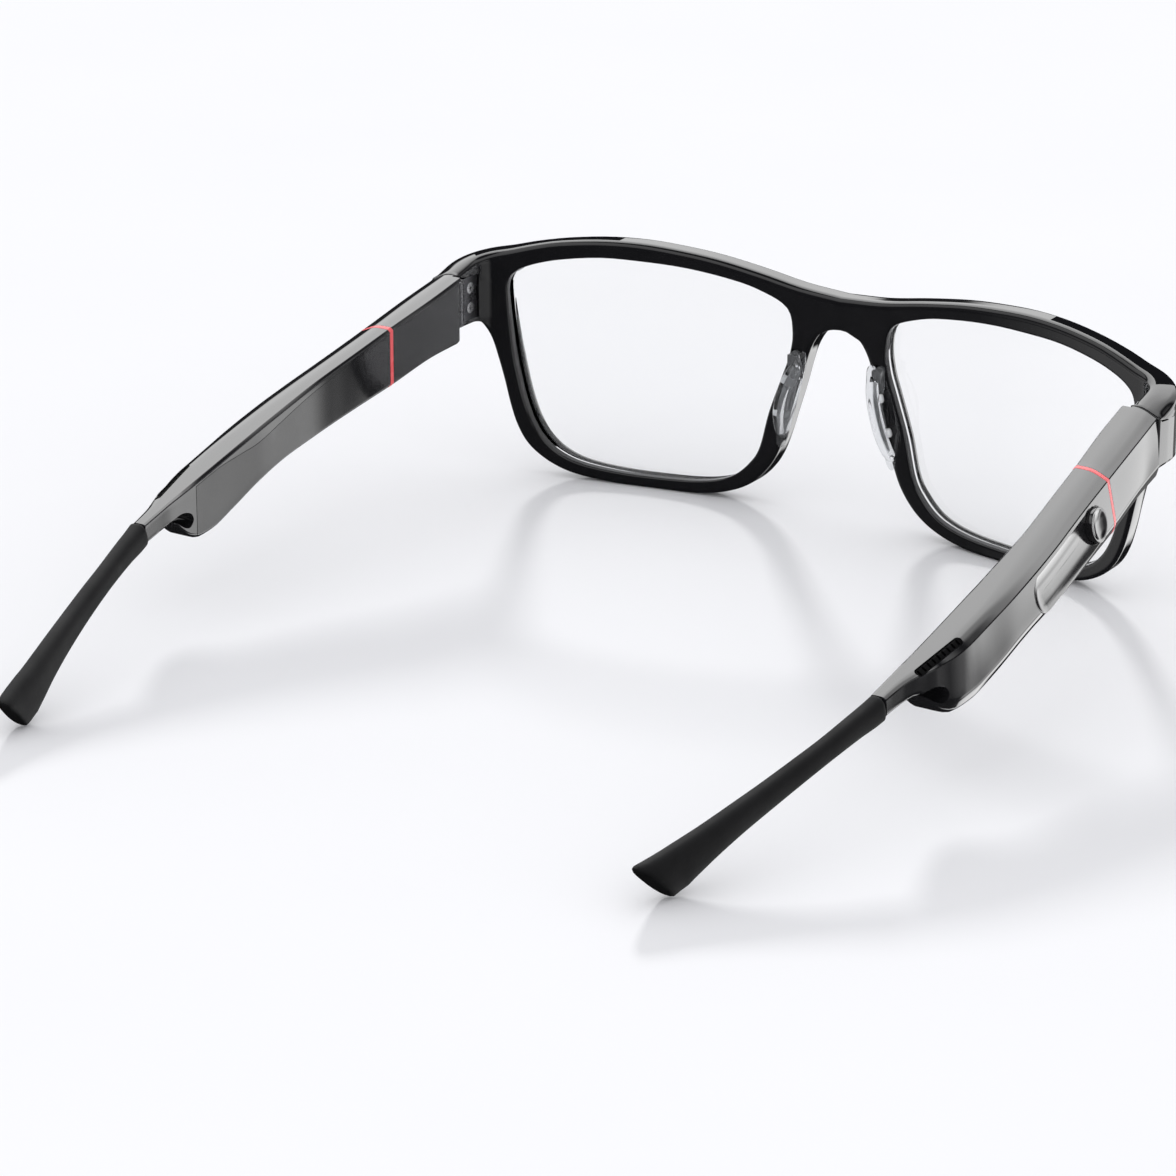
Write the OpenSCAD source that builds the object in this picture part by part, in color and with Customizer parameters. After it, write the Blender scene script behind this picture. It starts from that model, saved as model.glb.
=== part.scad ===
// Smart glasses: a wrapped plastic front, two lenses, and two electronics temples that
// unplug at a coloured ring. All sizes are in millimetres.
// +Z is up and -Y is the way the wearer looks. The wearer's left is +X.
// The origin is the middle of the overall box, on the surface the glasses rest on.
// Everything is drawn for the left side and mirrored for the right side.

/* [Front] */
// nose gap between the two lens openings (mm)
bridge_w = 18.4; // [17:0.2:21]
// width of each lens opening (mm)
lens_w = 52; // [50:0.5:54]
// height of each lens opening (mm)
lens_h = 39.2; // [37:0.2:40]
// height of the lower edge of the lens openings above the table (mm)
rim_low = 2.1; // [1.8:0.1:3]
// depth of the front from its outer face to its back face (mm)
front_t = 4.2; // [3.8:0.1:5]
// radius of the front's wrap seen from above (mm)
wrap_r = 185; // [170:5:220]
// thickness of each lens (mm)
lens_t = 1.6; // [1.2:0.1:2]
// height of the endpieces above the table at their lower edge (mm)
endpiece_low = 28.4; // [27:0.2:29]

/* [Hinges] */
// radius of the hinge knuckles (mm)
knuckle_r = 1.5; // [1.3:0.1:1.6]
// radius of the hinge pin (mm)
pin_r = 0.7; // [0.5:0.05:0.8]
// radial running clearance of the pin in the temple's knuckle (mm)
pin_fit = 0.05; // [0.02:0.01:0.1]
// distance from the bridge's back face to the hinge axis (mm)
hinge_y = 20.1; // [20.1:0.1:21]

/* [Temples] */
// height of the temple's top edge at the hinge axis (mm)
top_z = 38.45; // [38:0.05:39]
// slope of the temples down towards their rear ends (degrees)
temple_slope = 13.06; // [12.6:0.02:13.6]
// distance from the hinge axis to the coloured ring (mm)
ring_v = 19; // [18.4:0.1:19.6]
// length of the coloured ring along the temple (mm)
ring_t = 0.8; // [0.6:0.1:1]
// wall thickness of the temple shells (mm)
wall = 1.1; // [0.9:0.1:1.2]
// length of the plug that enters the temple's socket (mm)
plug_len = 8; // [6:0.5:8.5]

/* [Controls] */
// radius of the round button (mm)
button_rad = 2.8; // [2.4:0.1:3]
// half width of the long touch area (mm)
touch_rad = 3.1; // [2.8:0.1:3.2]
// distance between the button's centre and the touch area's far end centre (mm)
touch_len = 20.6; // [16:0.2:21]

/* [Hidden] */
$fn = 96;
eps = 0.01;

half_gap = bridge_w / 2;
open_x = half_gap + lens_w;
// inner and outer faces of the endpieces
end_in = open_x + 4;
end_out = open_x + 9.3;
hinge_x = end_in + 0.2;
slope_t = tan(temple_slope);
// rear tips: v, x offset, z of the middle, width and height of the rubber sleeve
tip_v = [[85.9, 3.15, 16.75, 2.9, 3.7], [86.6, 3.05, 16.5, 3.3, 4.3], [92, 2.1, 15.1, 3.1, 4.0],
    [98, 0.95, 13.45, 3.0, 3.8], [104, -0.3, 11.8, 3.1, 4.0], [110, -1.65, 10.05, 3.2, 4.4],
    [116, -3.1, 8.25, 3.4, 5.0], [121, -4.35, 6.6, 3.6, 5.8], [125, -5.4, 5.2, 3.8, 6.8],
    [128.5, -6.25, 4.1, 3.9, 7.8], [131.5, -7.0, 3.6, 3.8, 7.8], [134, -7.6, 3.3, 3.5, 7.4],
    [136, -8.05, 2.95, 2.9, 6.8], [137, -8.3, 2.75, 2.2, 6.2]];
// the sleeve's slanted end: v of its foot on the table and of its rearmost point
tip_foot = 129.2;
tip_end = 136.05;
// middle of the overall box along Y, measured from the bridge's back face
mid_y = (tip_end + hinge_y - front_t) / 2;

// ---- curves ----
function cr(a, b, c, d, t) = 0.5 * (2 * b + (c - a) * t
    + (2 * a - 5 * b + 4 * c - d) * t * t + (3 * b - a - 3 * c + d) * t * t * t);
function closed_curve(p, n = 3) = let (m = len(p))
    [for (i = [0 : m - 1], k = [0 : n - 1])
        cr(p[(i + m - 1) % m], p[i], p[(i + 1) % m], p[(i + 2) % m], k / n)];
function open_curve(p, n = 3) = let (m = len(p) - 1)
    concat([for (i = [0 : m - 1], k = [0 : n - 1])
        cr(p[max(i - 1, 0)], p[i], p[i + 1], p[min(i + 2, m)], k / n)], [p[m]]);
function reversed(p) = [for (i = [len(p) - 1 : -1 : 0]) p[i]];

// ---- the front's outlines, seen from the back ----
// lens opening as shares of its width from the nose side and of its height from below
open_shares = [[0, 0.775], [0.023, 0.883], [0.13, 0.944], [0.246, 0.974], [0.4, 0.995],
    [0.554, 1], [0.688, 0.997], [0.823, 0.972], [0.912, 0.941], [0.967, 0.906],
    [0.996, 0.86], [1, 0.78], [0.981, 0.538], [0.962, 0.398], [0.944, 0.298],
    [0.919, 0.204], [0.885, 0.128], [0.833, 0.066], [0.754, 0.024], [0.63, 0.003],
    [0.506, 0], [0.371, 0.008], [0.275, 0.03], [0.205, 0.07], [0.15, 0.14],
    [0.115, 0.22], [0.083, 0.388], [0.038, 0.559], [0.01, 0.668]];
function opening(grow = 0) = let (w = lens_w + 2 * grow, h = lens_h + 2 * grow)
    closed_curve([for (s = open_shares)
        [half_gap - grow + s[0] * w, rim_low - grow + s[1] * h]]);
// outer edge of one half, from the middle of the brow to the endpiece
brow = [[0, 40.1], [8, 40.7], [15.9, 42.1], [24, 43.4], [31, 44.1], [38, 44.5],
    [45, 44.3], [52, 43.5], [58, 42.4], [63, 41.2], [72, 39.8]];
// outer edge of one half, from the endpiece's lower edge round the rim to the bridge
under = [[open_x + 4.6, endpiece_low], [64.3, 27.2], [63.7, 25], [62.8, 21.4], [61.8, 17.4],
    [60.8, 12.9], [59.6, 9.0], [57.8, 5.8], [55, 3.3], [51.5, 1.5], [47.5, 0.55],
    [42, 0]];
nasal = [[31, 0], [27, 0.2], [23, 0.9], [19.5, 2.1], [16.6, 3.8], [14.3, 6], [12.4, 8.8],
    [10.9, 12.5], [9.4, 17.5], [7.9, 22.5], [6.7, 27], [5.6, 30.3], [4, 32.8],
    [2, 33.9], [0, 34.2]];
half_edge = concat(open_curve(brow), [[72, endpiece_low]], open_curve(under),
    open_curve(nasal));
front_edge = concat(half_edge, [for (i = [len(half_edge) - 2 : -1 : 1])
    [-half_edge[i][0], half_edge[i][1]]]);

// ---- the temple's outline stations ----
// v is the distance behind the hinge axis and u the distance outboard of it:
// v, u of the inner face, bevel edge, seam and outermost edge, z of the lower edge
arm_st = [[1.2, -1.7, 2.0, 4.7, 5.6, 26.5], [7.4, -1.3, 2.5, 5.2, 6.4, 26.0],
    [19, -0.1, 3.2, 6.0, 7.6, 23.55], [28.4, 0.7, 4.0, 6.7, 8.5, 21.9],
    [34, 1.2, 4.5, 7.2, 9.0, 20.85], [39.4, 1.6, 5.0, 7.7, 9.4, 19.8],
    [47.4, 1.8, 5.7, 8.2, 9.8, 18.4], [55.4, 1.9, 6.3, 8.4, 9.8, 16.2],
    [62.4, 1.9, 6.6, 8.3, 9.5, 13.7], [67.9, 1.9, 6.5, 8.2, 9.0, 12.0],
    [71.4, 1.9, 6.3, 7.8, 8.6, 11.7], [74.4, 1.9, 5.8, 7.1, 7.8, 12.65],
    [76, 1.9, 5.5, 6.8, 7.4, 13.8], [79.5, 1.9, 4.7, 5.6, 6.0, 16.4],
    [82, 1.85, 4.2, 4.9, 5.2, 15.9], [88, 1.75, 3.7, 4.2, 4.4, 14.6]];
function roof(v) = top_z - slope_t * v;
function at(st, v, k, i = 0) = v <= st[i + 1][0] || i == len(st) - 2
    ? st[i][k] + (st[i + 1][k] - st[i][k]) * (v - st[i][0]) / (st[i + 1][0] - st[i][0])
    : at(st, v, k, i + 1);
// one section of the temple at v, with every face moved in by t
function section(v, t) = let (z1 = roof(v) - t, z0 = at(arm_st, v, 5) + t, h = z1 - z0,
        a = at(arm_st, v, 1) + t, b = at(arm_st, v, 2) - 0.4 * t,
        c = at(arm_st, v, 3) - t, d = at(arm_st, v, 4) - t)
    [[a, v, z1 - 0.04 * h], [a + 0.5, v, z1], [b, v, z1], [c, v, z1 - 0.12 * h],
     [d, v, z0 + 0.22 * h], [d - 0.5, v, z0 + 0.07 * h], [d - 1.5, v, z0],
     [a + 0.6, v, z0], [a, v, z0 + 0.06 * h]];
// closed solid through a row of rings, each clockwise when seen from the front
module skin(rings) {
    n = len(rings[0]);
    m = len(rings);
    sides = [for (i = [0 : m - 2], k = [0 : n - 1]) each
        [[i * n + k, (i + 1) * n + (k + 1) % n, i * n + (k + 1) % n],
         [i * n + k, (i + 1) * n + k, (i + 1) * n + (k + 1) % n]]];
    polyhedron(points = [for (r = rings) each r],
        faces = concat([[for (k = [0 : n - 1]) k]], sides,
            [[for (k = [n - 1 : -1 : 0]) (m - 1) * n + k]]));
}
// the temple's outside from v0 to v1, every long face moved in by t
module form(v0, v1, t = 0) skin([for (v = concat([v0],
    [for (s = arm_st) if (s[0] > v0 + 0.2 && s[0] < v1 - 0.2) s[0]], [v1])) section(v, t)]);

// ---- placing ----
module at_rest() translate([0, -mid_y, 0]) children();
module temple_frame() translate([hinge_x, hinge_y, 0]) children();
// upright prism of a side outline given as [v, z] points, from u0 to u1
module side_prism(p, u0, u1) translate([u0, 0, 0]) rotate([90, 0, 90])
    linear_extrude(u1 - u0) polygon(p);
// block that lies along the temple: centre u, v, depth below the roof, then its size
module laid(u, v, drop, s, tilt = 0) translate([u, v, roof(v) - drop])
    rotate([-temple_slope, 0, 0]) rotate([0, 0, tilt]) cube(s, center = true);
// frame on the leaning outer face: local +Z leaves the temple, +X runs rearwards
control_v = 25.9;
control_drop = 4.85;
face_lean = 12.5;
face_yaw = 4.6;
module on_face() translate([7.77, control_v, roof(control_v) - control_drop])
    rotate([-temple_slope, 0, -face_yaw]) rotate([0, -face_lean, 0])
    multmatrix([[0, 0, 1, 0], [1, 0, 0, 0], [0, 1, 0, 0], [0, 0, 0, 1]]) children();
module capsule(r, l) {
    circle(r);
    translate([l, 0]) circle(r);
    translate([0, -r]) square([l, 2 * r]);
}

// ---- front ----
// plan area in front of y1, bounded by the wrap circle, two corner arcs and side faces
module plan_solid(r, x, corner, y1) {
    // middle of the corner arc that touches both the wrap circle and the side face
    cx = x - corner;
    cy = wrap_r - sqrt(pow(r - corner, 2) - cx * cx);
    intersection() {
        union() {
            intersection() {
                translate([0, wrap_r]) circle(r, $fn = 180);
                translate([-cx * r / (r - corner), -20])
                    square([2 * cx * r / (r - corner), y1 + 20]);
            }
            for (s = [-1, 1]) translate([s * cx, cy]) circle(corner);
            translate([-x, cy]) square([2 * x, y1 - cy]);
        }
        translate([-x - 1, -20]) square([2 * x + 2, y1 + 20]);
    }
}
module plan_band(outer = 0, inner = front_t, y1 = hinge_y - 0.05) difference() {
    plan_solid(wrap_r + inner, end_out, 9, y1);
    plan_solid(wrap_r + outer, end_in, 4.5, y1 + 1);
}
module front_prism(p, y0 = -20, y1 = 40) translate([0, y1, 0]) rotate([90, 0, 0])
    linear_extrude(y1 - y0) polygon(p);
module shell_slice(r0, r1) translate([0, wrap_r, -1]) linear_extrude(60) difference() {
    circle(wrap_r + r1, $fn = 180);
    circle(wrap_r + r0, $fn = 180);
}
groove = 0.5;
module front_frame() color("#141416") at_rest() difference() {
    intersection() {
        translate([0, 0, -1]) linear_extrude(60) plan_band();
        front_prism(front_edge);
    }
    for (s = [0, 1]) mirror([s, 0, 0]) {
        front_prism(opening());
        // groove that holds the lens
        intersection() {
            front_prism(opening(groove));
            shell_slice(front_t / 2 - lens_t / 2 + 0.3, front_t / 2 + lens_t / 2 + 0.3);
        }
        // endpiece roof, cut to run into the temple's top
        temple_frame() side_prism([[-8, roof(-8) + 0.3], [4, roof(4) + 0.3], [4, 60],
            [-8, 60]], -10, 20);
        // pocket for the hinge knuckles, closed above
        translate([hinge_x - 3, hinge_y - 1.1, 20])
            cube([3 + knuckle_r + 0.35, 3, pocket_top - 20]);
        translate([hinge_x, hinge_y, 20]) cylinder(r = knuckle_r + 0.3, h = pocket_top - 20);
        // recess for the front leaf, and its two screw holes
        translate([end_in - 1, hinge_y - 6.65, leaf_z0 - 0.05])
            cube([1 + leaf_t + 0.05, 7, leaf_h + 0.1]);
        for (z = screw_z) translate([end_in, hinge_y - 4.4, z]) rotate([0, 90, 0])
            cylinder(r = 0.57, h = 3.6);
        // seat for the nose pad's carrier
        translate([8.15, -0.6, 24.5]) cube([2.1, 2, 5.1]);
    }
}
module lens() color([0.86, 0.9, 0.92, 0.35]) intersection() {
    front_prism(opening(groove - 0.05));
    shell_slice(front_t / 2 - lens_t / 2 + 0.33, front_t / 2 + lens_t / 2 + 0.27);
}
// crescent silicone pad behind the nose side of each rim, leaning out towards its foot
pad_edge = [[0, 28.2], [2.2, 27.6], [3.7, 25.5], [4.5, 22.5], [4.6, 19.5], [4.0, 16.5],
    [2.9, 13.8], [1.4, 12.0], [0, 11.6]];
module pad_place() translate([5.7, 0.1, 28]) rotate([0, -14.5, -12]) translate([0, 0, -28])
    children();
module behind_front() translate([0, wrap_r, 0]) cylinder(r = wrap_r - 0.06, h = 60, $fn = 180);
module nose_pad() color([0.9, 0.9, 0.9, 0.5]) difference() {
    intersection() {
        pad_place() side_prism(closed_curve(pad_edge, 3), 0.1, 2.2);
        behind_front();
    }
    // room for the carrier's tab
    translate([8.17, -0.6, 24.57]) cube([2.06, 1.23, 4.96]);
    translate([8.17, 0.5, 26.87]) cube([2.06, 1.38, 2.66]);
    pad_place() side_prism([[0.9, 26.4], [2.3, 25.2], [3.2, 22.5], [3.2, 19], [2.4, 15.5],
        [0.9, 13.6]], 1.0, 3);
}
module pad_carrier() color([0.75, 0.76, 0.78]) {
    translate([8.2, -0.55, 24.6]) cube([2.0, 1.15, 4.9]);
    translate([8.2, 0.55, 26.9]) cube([2.0, 1.3, 2.6]);
    translate([0, 0, 0]) intersection() {
        pad_place() {
            side_prism([[0.95, 26.3], [2.25, 25.1], [3.1, 22.5], [3.1, 19], [2.35, 15.6],
                [0.95, 13.8]], 1.05, 1.7);
            for (p = [[1.9, 23.5], [1.75, 17.3]]) translate([1.6, p[0], p[1]])
                rotate([0, 90, 0]) cylinder(r = 0.8, h = 0.9);
        }
        behind_front();
    }
}

// ---- hinge ----
leaf_t = 1.0;
leaf_z0 = 29.4;
leaf_h = 7.8;
screw_z = [leaf_z0 + 2.1, leaf_z0 + 5.7];
// heights where the five knuckle levels meet
low_z = 29.4;
mid_lo = 32.0;
mid_hi = 34.6;
high_z = 37.2;
pocket_top = 37.75;
module knuckle(z0, z1, hole) translate([0, 0, z0]) difference() {
    union() {
        cylinder(r = knuckle_r, h = z1 - z0);
        children();
    }
    translate([0, 0, -1]) cylinder(r = hole, h = z1 - z0 + 2);
}
module leaf_front() color("#8d9094") temple_frame() {
    for (z = [[low_z, mid_lo - 0.05], [mid_hi + 0.05, high_z]])
        knuckle(z[0], z[1], pin_r + 0.01) translate([-0.2, -2, 0])
            cube([leaf_t, 2, z[1] - z[0]]);
    difference() {
        translate([-0.2, -6.6, leaf_z0]) cube([leaf_t, 4.7, leaf_h]);
        for (z = screw_z) translate([-0.21, -4.4, z]) rotate([0, 90, 0]) {
            cylinder(r = 0.6, h = 3);
            cylinder(r1 = 1.02, r2 = 0.6, h = 0.45);
        }
    }
}
module leaf_screws() color("#b9bcc0") temple_frame() for (z = screw_z)
    translate([-0.2, -4.4, z]) rotate([0, 90, 0]) {
        difference() {
            cylinder(r1 = 0.98, r2 = 0.55, h = 0.45);
            for (a = [0, 90]) rotate([0, 0, a]) translate([-0.5, -0.1, -0.01])
                cube([1, 0.2, 0.22]);
        }
        translate([0, 0, 0.4]) cylinder(r = 0.55, h = 3);
    }
module hinge_pin() color("#b9bcc0") temple_frame() {
    translate([0, 0, low_z - 0.35]) cylinder(r = pin_r, h = high_z - low_z + 0.4);
    translate([0, 0, high_z + 0.02]) difference() {
        cylinder(r = 1.15, h = 0.45);
        for (a = [0, 90]) rotate([0, 0, a]) translate([-0.7, -0.12, 0.25])
            cube([1.4, 0.24, 0.3]);
    }
}
module leaf_arm() color("#8d9094") temple_frame() {
    knuckle(mid_lo, mid_hi, pin_r + pin_fit) translate([-0.5, 0, 0])
        cube([leaf_t, 2.2, mid_hi - mid_lo]);
    translate([-0.5, 2.1, leaf_z0]) cube([leaf_t, 6, 6.4]);
}

// ---- front part of the temple, which stays on the hinge ----
// everything inboard of a line t inside the inner face
module inner_zone(v0, v1, t) let (vs = concat([v0],
    [for (s = arm_st) if (s[0] > v0 && s[0] < v1) s[0]], [v1]))
    translate([0, 0, 5]) linear_extrude(40) polygon(concat(
        [for (v = vs) [at(arm_st, v, 1) - 3, v]],
        [for (v = reversed(vs)) [at(arm_st, v, 1) + t, v]]));
cover_t = 1.0;
// distance of the plug's middle plane outboard of the hinge axis
plug_u = 3.2;
module knuckle_room() {
    translate([0, 0, 20]) cylinder(r = knuckle_r + 0.3, h = pocket_top - 20);
    translate([-4, -1, 20]) cube([4 + knuckle_r + 0.35, 2.2, pocket_top - 20]);
    // step in the lid, so that it clears the endpiece when the temple folds
    translate([-4, -1, 30]) cube([4.3, 1.4, 12]);
}
module leaf_room() translate([-0.55, 0, leaf_z0 - 0.05]) cube([leaf_t + 0.1, 8.15, 6.5]);
module plug_room(c) laid(plug_u, ring_v - 1, 5.25, [1.8 + 2 * c, 14.1, 5.4 + 2 * c]);
module arm_shell() color("#141416") temple_frame() difference() {
    form(0.05, ring_v - 0.02);
    intersection() {
        inner_zone(1, ring_v, cover_t + 0.02);
        side_prism([[0, 20], [20, 20], [20, roof(20) - 0.7], [0, roof(0) - 0.7]], -5, 5);
    }
    intersection() {
        form(3.4, ring_v - 1.4, wall);
        side_prism([[0, 20], [20, 20], [20, roof(20) - 1.3], [0, roof(0) - 1.3]], -5, 12);
    }
    knuckle_room();
    leaf_room();
    plug_room(0.02);
}
module arm_cover() color("#1a1a1d") temple_frame() difference() {
    union() {
        intersection() {
            form(1.2, ring_v - 0.02);
            inner_zone(1.1, ring_v, cover_t);
            side_prism([[0, 20], [20, 20], [20, roof(20) - 0.73], [0, roof(0) - 0.73]],
                -5, 5);
        }
        // thicker land in front, round the hinge
        translate([-2.4, 1.2, 27.4]) cube([0.9, 4.4, roof(6) - 27.4 - 1]);
    }
    knuckle_room();
    leaf_room();
    plug_room(0.02);
}
module plug() color("#c9a45a") temple_frame()
    laid(plug_u, ring_v + 0.0, 5.25, [1.8, 2 * plug_len, 5.4]);

// ---- rear part of the temple, which unplugs ----
module ring() color("#e8505b") temple_frame() difference() {
    form(ring_v, ring_v + ring_t);
    laid(plug_u, ring_v, 5.25, [2.0, 9, 5.6]);
}
body_v = ring_v + ring_t + 0.02;
tail_v = 86.3;
// upper edge of the inner cover, as [v, depth below the roof]
cover_edge = open_curve([[body_v, 0.8], [30, 0.95], [42, 1.3], [49, 1.8], [55, 2.2],
    [60, 1.6], [65, 0.9], [68, 0.75], [76, 0.75]], 3);
module cover_zone(c) side_prism(concat([[body_v, 5], [76, 5]],
    reversed([for (p = cover_edge) [p[0], roof(p[0]) - p[1] - c]])), -3, 8);
module notch(u0, u1) side_prism(closed_curve([[83, 16.2], [79, 16.9], [76.4, 17.3],
    [74.2, 16.7], [73.4, 15.4], [74.4, 14.3], [76, 14.75], [78, 16.1], [80, 16.45]], 3),
    u0, u1);
module cavity() intersection() {
    union() for (s = [0, 0.15]) translate([-s, 0, 0]) form(body_v + 1.2, 73, wall);
    side_prism([[body_v, 5], [72.4, 5], [72.4, roof(72.4) - wall], [body_v,
        roof(body_v) - wall]], -5, 12);
}
module vent_place() translate([5.9, 73.5, roof(73.5) - 0.75])
    rotate([-temple_slope, 0, 0]) rotate([0, 0, 8]) rotate([0, 24, 0]) children();
module vent(c) vent_place() translate([-0.75 - c, -5.6 - c, -1.6])
    cube([1.5 + 2 * c, 11.2 + 2 * c, 3]);
module temple_shell() color("#141416") temple_frame() difference() {
    form(body_v, tail_v);
    cavity();
    intersection() {
        inner_zone(body_v - 1, 72.6, cover_t + 0.02);
        cover_zone(-0.02);
    }
    on_face() translate([0, 0, -2.4]) linear_extrude(6) capsule(touch_rad + 0.05, touch_len);
    laid(plug_u, 20, 5.25, [2.0, 9, 5.6]);
    notch(0, 12);
    // port from the speaker into the notch
    translate([5.1, 74, 15.7]) rotate([90, 0, 0]) cylinder(r = 0.9, h = 4);
    intersection() {
        vent(0.03);
        form(60, 88, -1);
    }
    // microphone hole in the lower edge
    translate([5.2, 34, 18]) cylinder(r = 0.4, h = 5);
    // hole for the tip's core
    core_bar(0.62);
}
module temple_cover() color("#1a1a1d") temple_frame() intersection() {
    form(body_v, tail_v);
    inner_zone(body_v, 72.5, cover_t);
    cover_zone(0.01);
}
module touch_panel() color("#26272b") temple_frame() on_face() difference() {
    translate([0, 0, -1.1]) linear_extrude(1.25) capsule(touch_rad, touch_len);
    // shallow trough along the touch area
    translate([-4, 0, 9.35]) rotate([0, 90, 0]) cylinder(r = 9.6, h = 40);
    translate([0, 0, -3]) cylinder(r = button_rad + 0.12, h = 6);
}
module button() color("#1d1e21") temple_frame() on_face() difference() {
    union() {
        translate([0, 0, -1.0]) cylinder(r = button_rad, h = 1.35);
        translate([0, 0, -1.6]) cylinder(r = 0.9, h = 0.7);
    }
    translate([0, 0, 8.2]) sphere(r = 8.3);
}
module switch() color("#7b7f85") temple_frame() on_face()
    translate([-1.5, -1.5, -2.75]) cube([3, 3, 0.75]);
module socket() color("#9aa0a6") temple_frame() difference() {
    laid(plug_u, 25.4, 5.25, [2.8, 7.2, 6.5]);
    laid(plug_u, 23, 5.25, [2.0, 9.4, 5.6]);
}
module board() color("#2f6b4f") temple_frame() {
    laid(3.35, 46, 5.1, [0.6, 30, 5]);
    for (v = [33.5, 38, 41.6]) laid(3.95, v, 5.1, [0.6, 2.6, 2.6]);
}
module battery() color("#b6bac0") temple_frame() laid(5.55, 51.5, 5.3, [2.8, 16, 5]);
module speaker() color("#55585e") temple_frame() translate([5.0, 70.9, 15.6])
    rotate([90, 0, 0]) {
        translate([-1.6, -1.9, 0]) cube([3.2, 4.9, 4.4]);
        difference() {
            translate([0, 0, -0.55]) cylinder(r = 1.4, h = 0.6);
            translate([0, 0, -0.6]) cylinder(r = 1.0, h = 0.4);
        }
    }
module speaker_mesh() color("#3a3b3f") temple_frame() translate([5.1, 73.1, 15.7])
    rotate([90, 0, 0]) difference() {
        cylinder(r = 0.87, h = 0.3);
        for (a = [0 : 60 : 300]) rotate([0, 0, a]) translate([0.5, 0, -1])
            cylinder(r = 0.15, h = 2);
        translate([0, 0, -1]) cylinder(r = 0.15, h = 2);
    }
module vent_mesh() color("#3a3b3f") temple_frame() difference() {
    intersection() {
        vent(0);
        form(60, 88, 0.25);
    }
    vent_place() for (v = [-4.8 : 1.2 : 4.8]) translate([-0.45, v - 0.2, -3])
        cube([0.9, 0.4, 6]);
}
module microphone() color("#c7a14a") temple_frame()
    translate([4.5, 33.1, 22.2]) cube([1.4, 1.8, 0.9]);
module flex() color("#c98a2e") temple_frame() {
    laid(3.35, 30.03, 5.1, [0.3, 1.9, 3.5]);
}

// ---- rear tips ----
function tip_dir(i) = let (a = tip_v[max(i - 1, 0)], b = tip_v[min(i + 1, len(tip_v) - 1)],
    d = [b[1] - a[1], b[0] - a[0], b[2] - a[2]]) d / norm(d);
function tip_ring(i, t, n = 24) = let (s = tip_v[i], d = tip_dir(i),
        e = [d[1], -d[0], 0] / norm([d[1], d[0]]), g = cross(e, d))
    [for (k = [0 : n - 1]) let (q = 360 * k / n, c = cos(q), w = sin(q),
            a = sign(c) * pow(abs(c), 0.8), b = sign(w) * pow(abs(w), 0.8))
        [s[1], s[0], s[2]] + e * (a * (s[3] / 2 - t)) - g * (b * (s[4] / 2 - t))];
// round bar that runs inside the temple's tail and the sleeve
core_v = concat([[83.4, 3.2, 17.15], [86.6, 3.05, 16.5]],
    [for (i = [2 : 1 : 9]) [tip_v[i][0], tip_v[i][1], tip_v[i][2]]]);
module core_bar(r, n = 12) skin([for (s = core_v) [for (k = [0 : n - 1])
    [s[1] + r * cos(360 * k / n), s[0] - r * sin(360 * k / n) * slope_t,
     s[2] - r * sin(360 * k / n)]]]);
module tip_core() color("#6a6d72") temple_frame() core_bar(0.6);
module tip_sleeve() color("#0f0f10") temple_frame() difference() {
    skin([for (i = [0 : len(tip_v) - 1]) tip_ring(i, 0)]);
    translate([-5, tail_v - 9.98, 5]) cube([20, 10, 20]);
    side_prism([[tip_foot, 0], [tip_end, 6.7], [tip_end, 12], [145, 12], [145, -5],
        [tip_foot, -5]], -20, 5);
    side_prism([[120, 0], [120, -5], [145, -5], [145, 0]], -20, 5);
    core_bar(0.64);
}

module left() at_rest() children();
module right() at_rest() mirror([1, 0, 0]) children();

front_frame();
left() lens();  // lens_l
right() lens();  // lens_r
left() nose_pad();  // nose_pad_l
right() nose_pad();  // nose_pad_r
left() pad_carrier();  // pad_carrier_l
right() pad_carrier();  // pad_carrier_r
left() leaf_front();  // leaf_front_l
right() leaf_front();  // leaf_front_r
left() leaf_screws();  // leaf_screws_l
right() leaf_screws();  // leaf_screws_r
left() hinge_pin();  // hinge_pin_l
right() hinge_pin();  // hinge_pin_r
left() leaf_arm();  // leaf_arm_l
right() leaf_arm();  // leaf_arm_r
left() arm_shell();  // arm_shell_l
right() arm_shell();  // arm_shell_r
left() arm_cover();  // arm_cover_l
right() arm_cover();  // arm_cover_r
left() plug();  // plug_l
right() plug();  // plug_r
left() ring();  // ring_l
right() ring();  // ring_r
left() temple_shell();  // temple_shell_l
right() temple_shell();  // temple_shell_r
left() temple_cover();  // temple_cover_l
right() temple_cover();  // temple_cover_r
left() touch_panel();  // touch_panel_l
right() touch_panel();  // touch_panel_r
left() button();  // button_l
right() button();  // button_r
left() switch();  // switch_l
right() switch();  // switch_r
left() socket();  // socket_l
right() socket();  // socket_r
left() board();  // board_l
right() board();  // board_r
left() battery();  // battery_l
right() battery();  // battery_r
left() speaker();  // speaker_l
right() speaker();  // speaker_r
left() speaker_mesh();  // speaker_mesh_l
right() speaker_mesh();  // speaker_mesh_r
left() vent_mesh();  // vent_mesh_l
right() vent_mesh();  // vent_mesh_r
left() microphone();  // microphone_l
right() microphone();  // microphone_r
left() flex();  // flex_l
right() flex();  // flex_r
left() tip_core();  // tip_core_l
right() tip_core();  // tip_core_r
left() tip_sleeve();  // tip_sleeve_l
right() tip_sleeve();  // tip_sleeve_r
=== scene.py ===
import math

import bmesh
import bpy
import numpy as np
from mathutils import Matrix, Vector


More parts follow.
